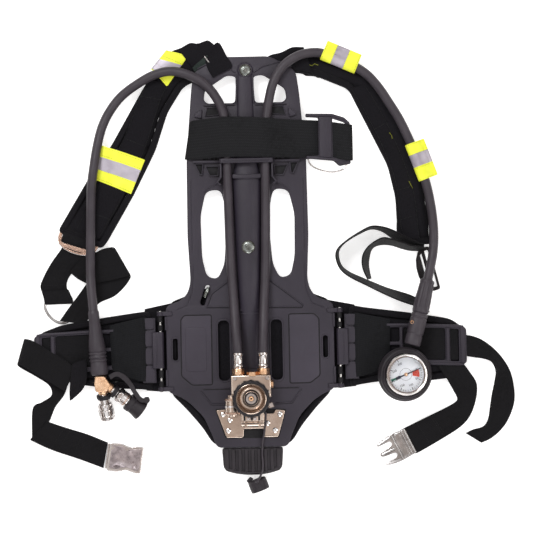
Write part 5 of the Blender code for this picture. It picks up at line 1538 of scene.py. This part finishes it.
# A near-black sheet in the slider's lower slot: painted shade.
slot = rounded([(-16, -8.6), (0, -9.9), (11, -9.2), (10, -10.3), (0, -11.2), (-14, -10.0)], 0.6)
use(placed(panel("left_slider_slot_shade", slot, 2.8, 3.2, 0.1), *LEFT_SLIDER), "harness",
    PAINTED_SHADE_BLACK, "brass")
entry = [((-23.5, y, z), (24, y, z)) for y, z in (
    (21, 2.2), (11, 3.4), (4.5, 4.7), (0.5, 4.7), (-2.2, 3.0), (-2.7, 0.6))]
use(placed(ribbon("left_pad_end_webbing", entry), *LEFT_SLIDER), "harness", WEBBING, "webbing")
RING = [(-287, 73), (-278, 73.4), (-268, 72.8), (-258, 72.4), (-250, 72), (-246.6, 67.5),
        (-247, 60), (-250.5, 51.5), (-256.5, 45.2), (-264, 43), (-272, 44.6), (-279.5, 49.5),
        (-285.5, 57), (-289, 66), (-287, 73)]
use(sweep("pull_ring_look", evenly_spaced(at_height(RING, 2.4), 1.5), 2.1, 16), "ring",
    BUCKLE_STEEL, "chrome", "pull_ring")


# --------------------------------------------------------------- reflective bands
def band(name, edges, shares, end_seam=False):
    """A reflective band with rows of stitches at those shares of its width."""
    use(ribbon(name + "_band_look", edges, 1.0, smooth=False), "harness", LIME,
        "reflective_tape", name + "_band")
    lift = Vector((0, 0, 0.75))
    left = [point + lift for point in catmull_rom([pair[0] for pair in edges], 3)]
    right = [point + lift for point in catmull_rom([pair[1] for pair in edges], 3)]
    lines = [[a.lerp(b, share) for a, b in zip(left, right)] for share in shares]
    if end_seam:
        lines.append([left[-2], right[-2]])
    rows = [dashes("row", line, 1.6, 1.0, 0.26, False) for line in lines]
    use(join(name + "_seams", rows), "harness", THREAD_LIME, "reflective_tape")


LOWER_LEFT = [((-206, 292, 10.6), (-216, 246, 10.6)), ((-203, 291.8, 13.2), (-213.5, 243.6, 13.2)),
              ((-198.7, 290.4, 14.0), (-209.5, 242.4, 14.0)),
              ((-171, 281, 14.4), (-187, 233, 14.4)),
              ((-144.5, 270.9, 14.0), (-165, 223.2, 14.0)),
              ((-142.8, 270.2, 12.6), (-163.5, 222.5, 12.6))]
UPPER_LEFT = [((-109, 424, 12.6), (-131.5, 397.4, 12.6)), ((-106.4, 423, 14.0), (-129.3, 396, 14.0)),
              ((-93, 419.6, 14.4), (-119.5, 384.6, 14.4)),
              ((-80.5, 415.8, 14.0), (-110.5, 374, 14.0)),
              ((-78.9, 415.3, 12.6), (-109.3, 373.1, 12.6))]
band("lower_left", LOWER_LEFT, (0.05, 0.27, 0.69, 0.95), True)
band("upper_left", UPPER_LEFT, (0.04, 0.28, 0.68, 0.96))


def hooped(route, inner_reach):
    """The stations of a band that wraps the hose along a stretch of its route."""
    line = evenly_spaced(route, 4.0)
    first, last = Vector(line[0]), Vector(line[-1])
    way = (last - first).normalized()
    side = Vector((way.y, -way.x, 0)).normalized()
    radius = HOSE_RADIUS + 1.0
    section = [(-inner_reach, -5.6), (-inner_reach + 0.6, -4.6), (-inner_reach + 4.4, -4.3),
               (-inner_reach + 5.2, -2.9), (-inner_reach + 8, -1.6), (-radius - 3.4, 1.2)]
    for step in range(2, 8):
        angle = math.pi - math.pi * step / 8
        section.append((radius * math.cos(angle), radius * math.sin(angle)))
    section += [(radius, 0.0), (radius - 0.6, -4.4)]
    edges = []
    for out, lift in section:
        up = Vector((0, 0, lift))
        edges.append((first + side * out + up, last + side * out + up))
    return edges


UPPER_RIGHT = hooped([(109.6, 412.6, 20.3), (133.4, 402, 20.3), (157.2, 391.6, 20.2)], 21.0)
LOWER_RIGHT = hooped([(230.6, 284.6, 19.8), (240, 259, 19.8), (249.2, 233.4, 19.8)], 20.5)
band("upper_right", UPPER_RIGHT, (0.03, 0.3, 0.66, 0.97))
band("lower_right", LOWER_RIGHT, (0.03, 0.3, 0.66, 0.97))
loose = [sweep("loose_thread", points, 0.3, 6) for points in (
    [(104, 398, 15), (99, 400, 15.6), (95, 397, 15.2), (92, 399, 15)],
    [(206, 292, 15), (205, 297, 15.4), (202, 301, 15)],
    [(228, 232, 15), (231, 226, 15.4), (233, 222, 15)])]
use(join("loose_threads", loose), "harness", THREAD_LIME, "reflective_tape")


# -------------------------------------------------------- upper left strap details
fold_pieces = []
for line in (
        [((-92, 424, 13.6), (-70, 396, 13.6)), ((-84, 429, 15.2), (-62, 400, 15.2)),
         ((-75, 433, 16.0), (-56, 404, 15.8)), ((-66, 432, 14.0), (-48, 405, 14.0))],
        [((-64, 432, 13.8), (-50, 404, 13.8)), ((-57, 434.5, 15.8), (-45, 407, 15.6)),
         ((-50, 436, 16.2), (-40, 409, 15.8)), ((-43, 431, 14.0), (-35, 408, 14.0))],
        [((-42, 430, 13.8), (-38, 404, 13.8)), ((-37, 433, 16.0), (-32, 404, 15.6)),
         ((-32, 429, 15.0), (-26, 402, 14.6)), ((-27, 418, 13.8), (-22, 400, 13.8))]):
    fold_pieces.append(ribbon("fold", line, 2.2, crown=1.2))
fold_pieces.append(ribbon("fold_end", [((-55, 412, 16), (-33.5, 432, 15)),
                                       ((-53.5, 402, 19.8), (-26, 416, 18)),
                                       ((-50, 392.5, 20.6), (-17.5, 402, 20.8)),
                                       ((-44.5, 383, 20.2), (-18.5, 396, 20.6))], 2.2,
                          crown=0.5))
use(join("shoulder_folds", fold_pieces), "harness", CORDURA, "pad_fabric")
tag = [((-52, 415.5, 16.6), (-44, 404, 16.6)), ((-58, 411, 17.0), (-51, 399.5, 17.0)),
       ((-66, 404.5, 16.4), (-60, 394, 16.4)), ((-73, 398, 15.4), (-68, 389, 15.4))]
strap("grey_tag", tag, "harness", material=GREY_TAPE, thickness=1.6)
use(sweep("slot_bar", [(-55.5, 413.5, 18.4), (-50, 405.5, 18.8), (-42.2, 394.8, 18.4)],
          [1.2, 1.5, 1.2], 12), "harness", STEEL, "steel")
right_top = [((28, 408, 13.6), (30, 388, 13.6)), ((38, 414, 14.6), (44, 391, 14.6)),
             ((52, 417, 15.0), (60, 393, 15.0)), ((68, 424, 14.4), (80, 391, 14.4)),
             ((84, 424, 13.4), (96, 387, 13.4))]
use(ribbon("right_shoulder_fold", right_top, 2.0, crown=0.8), "harness", CORDURA,
    "pad_fabric")


# ----------------------------------------------------------- cylinder strap, lever
CYLINDER_BAND = [((-76, 319, 14.8), (-83.5, 269.4, 14.8)), ((-77, 321, 17), (-85.4, 269, 17)),
                 ((-76, 322.6, 19.6), (-84.6, 268.8, 19.6)), ((-71, 323.6, 22.5), (-78, 268.6, 22)),
                 ((-58, 325, 26.4), (-60, 269.4, 26)), ((-42, 326.4, 31.6), (-42, 270.4, 31.6)),
                 ((-28, 327.2, 34.4), (-28, 271, 34.6)), ((0, 326.6, 35.6), (0, 270.6, 35.8)),
                 ((28, 324.6, 34.6), (28, 269.6, 34.8)), ((44, 323.2, 31), (44, 269, 31)),
                 ((60, 322, 27.4), (60, 268.4, 27.4)), ((76, 321, 26.2), (76, 267.6, 26.2)),
                 ((100, 319.6, 26), (100, 267, 26)), ((118, 318.6, 26), (118, 266.6, 26))]
strap("cylinder_band_look", CYLINDER_BAND, "harness", "cylinder_strap", material=BAND_WEAVE,
      thickness=2.2, columns=(0, 0.02, 0.08, 0.3, 0.5, 0.7, 0.92, 0.98, 1))
LEVER_LOW, LEVER_HIGH, BAIL_HEIGHT = 29.5, 35.5, 32.5


def strap_lever():
    """The open frame that tightens the cylinder strap, with its raised rims and bar."""
    outline = rounded([(84, 329), (121, 328), (138, 322.5), (146, 315), (146, 257.5), (130, 254.5),
                       (122, 262), (84, 266), (84, 269.6), (101.5, 270), (101.5, 322.6),
                       (84, 324)], 2.0)
    holes = [rounded([(121.5, 321), (136, 316), (142.8, 311.5), (142.8, 263.5), (121.5, 267)],
                     1.2)]
    parts = [panel("lever_base", outline, LEVER_LOW, LEVER_HIGH - 0.8, 0.9, holes)]
    for rim in ([(85, 326.8), (120.5, 326), (137, 320.6), (144, 314)],
                [(85, 268), (121.5, 264.4), (137, 257.8), (144.4, 260.4)]):
        parts.append(rib("lever_rim", rim, 3.4, LEVER_HIGH - 1.6, LEVER_HIGH + 0.8, 0.8))
    bar = [(102.6, 324.5), (120.4, 324), (119.6, 266.5), (102.6, 268)]
    parts.append(panel("lever_bar", rounded(bar, 1.5), LEVER_HIGH - 2.5, LEVER_HIGH + 1.6, 1.0))
    for x, y in ((86.5, 268.4), (140.8, 260.2)):
        parts.append(lathe("lever_boss", [(0, 3.2), (2.6, 3.2), (3.0, 2.8), (3.0, 0), (0, 0)],
                           (x, y, BAIL_HEIGHT), (0, -1, 0), 16))
    return join("strap_lever_look", parts)


use(strap_lever(), "lever", PLASTIC, "plate_plastic", "strap_lever")
BAND_END = [((103, 317, 29.8), (103, 268.5, 29.8)), ((112, 316.8, 30.4), (112, 267.5, 30.4)),
            ((121, 316.5, 32.6), (121, 266.5, 32.6)), ((130, 315, 35.2), (130, 264.5, 35.2)),
            ((139, 313.5, 36.4), (139, 262.5, 36.4)), ((146, 312.5, 35.6), (146, 262, 35.6)),
            ((148.4, 312, 33), (148.4, 262, 33)), ((147, 312, 30.2), (147, 262, 30.2)),
            ((141, 312.5, 29.2), (141, 262.5, 29.2)), ((128, 313, 29.0), (128, 264, 29.0))]
strap("cylinder_band_end", BAND_END, "lever", material=BAND_WEAVE)
BAIL = [(86.5, 266.5), (87.4, 262), (91, 256.5), (98, 252), (107, 248.6), (117, 246.6),
        (127, 247.2), (135, 250), (139.6, 254), (140.8, 258.4)]
use(sweep("strap_bail_look", evenly_spaced(at_height(BAIL, BAIL_HEIGHT), 2.0), 1.15, 12), "bail",
    CHROME, "steel", "strap_bail")


# --------------------------------------------------------------------- reducer
WHEEL_AXIS = ((0, -66, 0), (0, 0, 1))
NOZZLE_AXIS = ((0, -66, 50.8), (0, 0, 1))
RELIEF_AXIS = ((-27.0, -62.2, 38.0), (0, -1, 0))


def reducer_block():
    """The cast body with its shelf, housing and forked arm."""
    parts = [box_piece("block_main", (-28, -61, 25), (28, -34.2, 49), 2.0)]
    parts.append(box_piece("block_shelf", (-27, -66, 26), (28, -58, 40), 1.6))
    parts.append(lathe("housing", [(0, 50.3), (15.6, 50.3), (16.4, 49.4), (16.5, 26.2), (15.8, 25.4),
                                   (0, 25.4)], (0, -66, 0), sides=48))
    parts.append(box_piece("arm", (-15, -100, 25.2), (17, -60, 30), 1.0))
    for low in (-15.0, 12.0):
        parts.append(lathe("ear", stub(4.0, 5, 0.4), (low, -104, 26.5), (1, 0, 0), 24))
        parts.append(box_piece("cheek", (low, -104, 25.2), (low + 5, -98, 30), 0.6))
    return join("reducer_body_look", parts)


use(reducer_block(), "reducer", NICKEL, "brass", "reducer_body")
hexes = [lathe("hex", [(0, 7.2), (7.6, 7.2), (8.4, 6.4), (8.4, 1.4), (7.8, 0.8), (0, 0.8)],
               (2.0, -37.0, 42.0), (0, 1, 0.0), 6)]
hexes.append(lathe("plug", [(0, 3.2), (5.0, 3.2), (5.6, 2.6), (5.6, 0), (0, 0)],
                   (28.0, -47.5, 38.0), (1, 0, 0), 6))
use(join("reducer_hexes", hexes), "reducer", BRASS, "brass")
small = []
for x, y in ((-22, -38.5), (22.5, -38.5), (-22, -57), (22.5, -57)):
    small.append(lathe("screw", [(0, 1.4), (2.4, 1.4), (2.8, 0.9), (2.8, -0.5), (0, -0.5)],
                       (x, y, 49.2), sides=20))
small.append(lathe("side_nut", stub(5.0, 7, 0.6), (26.5, -74, 32), (0.35, -0.93, 0), 6))
use(join("reducer_fittings", small), "reducer", CHROME, "chrome")


def nut_shape(angle, radius, _height):
    """Six flats on the widest part of a nut."""
    return min(radius, six_sided(angle, 7.5)) if radius > 6.6 else radius


FERRULE = [(0, 31), (6.9, 31), (7.6, 30.4), (7.8, 27.4), (7.3, 26.6), (6.9, 25.8), (6.9, 15.4),
           (7.3, 14.8), (7.8, 14.0), (7.8, 11.6), (7.2, 10.8), (6.4, 10.0), (6.4, 6.6), (0, 6.6)]
FERRULE_NUT = [(0, 8.8), (7.4, 8.8), (8.6, 8.0), (8.6, 0.8), (7.8, 0), (0, 0)]
for side, x in (("supply", -17.5), ("gauge", 17.5)):
    axis = ((x, -33.7, 42.0), (0, 1, 0))
    turned(side + "_ferrule_look", FERRULE, axis, 48, "reducer", CHROME, "chrome",
           side + "_ferrule")
    turned(side + "_ferrule_nut", FERRULE_NUT, axis, 72, "reducer", BRASS, "brass",
           shape=nut_shape)
relief_profile = [(0, 30.4), (5.5, 30.4), (6.5, 29.6), (6.5, 27.6), (10.0, 27.2), (10.6, 26.4),
                  (10.6, 23.8), (10.1, 23.2), (10.1, 17.4), (10.7, 16.8), (10.7, 14.6),
                  (10.1, 14.0), (10.1, 7.8), (10.6, 7.2), (10.6, 5.0), (9.6, 4.0), (6.5, 3.6),
                  (6.5, 0), (0, 0)]
turned("relief_valve_look", relief_profile, RELIEF_AXIS, 56, "reducer", NICKEL, "chrome",
       "relief_valve")
relief_rings = [lathe("ring", [(10.8, high), (10.8, low), (9.8, low), (9.8, high)],
                      *RELIEF_AXIS, 56) for low, high in ((4.9, 7.0), (23.6, 26.2))]
use(join("relief_bands", relief_rings), "reducer", COPPER, "brass")
# A chrome ring over the valve's raised middle ring, brighter than the nickel body: a real ring
# carrying a painted highlight.
turned("relief_highlight_band", [(10.9, 17.0), (10.9, 14.4), (9.8, 14.4), (9.8, 17.0)],
       RELIEF_AXIS, 56, "reducer", CHROME, "chrome")
domes = []
for x in (-4.7, 4.2):
    domes.append(lathe("dome", [(0, 3.6), (1.6, 3.3), (2.8, 2.2), (3.2, 0.6), (3.2, 0), (0, 0)],
                       (x, -95.4, 30.0), sides=24))
use(join("arm_nuts", domes), "reducer", CHROME, "chrome")
# Near-black strips along the reducer arm: painted shade in its grooves.
groove_shades = [box_piece("groove_shade", (x, -99, 29.8), (x + 2.6, -61, 30.25), 0.1)
           for x in (-11.6, -1.4, 8.8)]
use(join("arm_groove_shade", groove_shades), "reducer", PAINTED_SHADE_BLACK, "brass")


def grip(angle, radius, _height):
    """Sixteen lobes round the outside of the handwheel."""
    if radius < 22.5:
        return radius
    return radius + 0.9 + 0.55 * math.cos(16 * angle) + 0.2 * math.cos(48 * angle)


wheel_profile = [(24.2, 52.6), (23.4, 52.0), (12.4, 52.0), (12.0, 52.6), (12.0, 57.4),
                 (12.6, 58.0), (20.4, 58.0), (20.9, 58.6), (20.9, 73.6), (21.4, 74.6),
                 (22.2, 75.0), (23.2, 74.8), (24.0, 74.0), (24.5, 72.6), (24.7, 65), (24.7, 58),
                 (24.6, 54.4)]
turned("handwheel_look", wheel_profile, WHEEL_AXIS, 200, "handwheel", RUBBER_BLACK,
       "black_rubber", "handwheel", shape=grip, sharp=50.0)
insert_profile = [(20.8, 74.4), (20.6, 58.4), (12.2, 58.2), (12.2, 59.0), (14.2, 59.4),
                  (16.0, 60.8), (17.4, 63.4), (18.2, 67.0), (18.7, 70.4), (19.2, 72.6),
                  (19.8, 74.2), (20.2, 74.7)]
turned("handwheel_insert", insert_profile, WHEEL_AXIS, 96, "handwheel", NICKEL, "brass")
nozzle_profile = [(0, 16.2), (3.4, 16.2), (3.7, 16.8), (3.8, 18.8), (4.4, 19.2), (7.2, 19.2),
                  (7.6, 18.8), (7.7, 17.4), (9.2, 17.2), (9.8, 16.4), (10.3, 13.6), (10.9, 9.0),
                  (11.4, 5.0), (11.5, 0.6), (11.0, 0), (0, 0)]
turned("connector_look", nozzle_profile, NOZZLE_AXIS, 56, "reducer", CHROME, "chrome",
       "connector")
turned("o_ring", [(8.6, 19.3), (9.2, 19.0), (9.5, 18.2), (9.2, 17.4), (8.5, 17.2), (7.9, 17.5),
                  (7.7, 18.2), (8.0, 19.0)], NOZZLE_AXIS, 48, "reducer", RUBBER_BLACK,
       "black_rubber")
turned("nozzle_core", [(1.1, 17.0), (1.5, 17.4), (3.3, 17.2), (3.4, 16.0), (1.1, 16.0)],
       NOZZLE_AXIS, 24, "reducer", BRASS, "brass")
# A near-black disc in the nozzle's core: painted shade in its bore.
turned("nozzle_bore_shade", [(0, 16.6), (1.15, 16.6), (1.15, 16.1), (0, 16.1)], NOZZLE_AXIS, 20,
       "reducer", PAINTED_SHADE_BLACK, "brass")
repaint("reducer_piston", BRASS)
repaint("reducer_spring", STEEL)


def reducer_bracket():
    """The steel plate under the reducer with the barrel its arm tilts on."""
    outline = rounded([(-50, -84), (-36, -83), (-34, -90), (31, -90), (33, -84.5), (47, -86),
                       (36.5, -123), (16, -123), (16, -111), (-12, -111), (-12, -122.5),
                       (-36.5, -122)], 2.4, 4)
    parts = [panel("bracket_plate", outline, 18.7, 20.7, 0.6, segments=3)]
    parts.append(lathe("barrel", stub(4.2, 18, 0.5), (-8, -104, 26.5), (1, 0, 0), 28))
    parts.append(box_piece("web", (-8, -108, 19), (10, -100.5, 25.5), 0.8))
    for left, right in ((-35.5, -14), (17.5, 35.5)):
        parts.append(sweep("lip", [(left, -122.0, 20.2), (right, -122.2, 20.2)], 1.3, 12))
    return join("reducer_bracket_look", parts)


use(reducer_bracket(), "harness", NICKEL, "chrome", "reducer_bracket")
heads = []
for x, y in ((-40.5, -90), (-33.5, -113), (39.5, -91), (32.5, -113.5), (22, -103.5), (-31, -98)):
    heads.append(lathe("head", [(0, 2.0), (2.0, 1.8), (3.4, 1.1), (3.9, 0), (0, 0)], (x, y, 20.6),
                       sides=20))
use(join("bracket_rivets", heads), "harness", CHROME, "chrome")


# --------------------------------------------------------------- floor and finish
FAR = 6000
floor = mesh_piece("floor", [(-FAR, -FAR, 0), (FAR, -FAR, 0), (FAR, FAR, 0), (-FAR, FAR, 0)],
                   [(0, 1, 2, 3)], smooth=False)
floor.data.materials.append(FLOOR)

world = bpy.data.worlds.new("studio")
world.use_nodes = True
SCENE.world = world
tree = world.node_tree
direction = node(tree, "ShaderNodeTexCoord").outputs["Generated"]
height = node(tree, "ShaderNodeSeparateXYZ", {"Vector": direction}).outputs["Z"]
ramp = node(tree, "ShaderNodeValToRGB", {"Fac": height})
ramp.color_ramp.elements[0].position = 0.0
ramp.color_ramp.elements[0].color = (0.34, 0.27, 0.24, 1.0)
ramp.color_ramp.elements[1].position = 1.0
ramp.color_ramp.elements[1].color = (0.46, 0.40, 0.37, 1.0)
for place, shade in ((0.22, (0.20, 0.14, 0.12)), (0.27, (0.03, 0.025, 0.025)),
                     (0.42, (0.03, 0.025, 0.025)), (0.45, (0.80, 0.72, 0.66)),
                     (0.56, (0.90, 0.82, 0.76)), (0.59, (0.05, 0.04, 0.04)),
                     (0.70, (0.07, 0.055, 0.05)), (0.73, (1.0, 1.0, 1.0)),
                     (0.93, (1.0, 1.0, 1.0)), (0.96, (0.50, 0.44, 0.40))):
    ramp.color_ramp.elements.new(place).color = shade + (1.0,)
tree.links.new(ramp.outputs["Color"], tree.nodes["Background"].inputs["Color"])
tree.nodes["Background"].inputs["Strength"].default_value = 1.25
SCENE.view_settings.view_transform = "Standard"
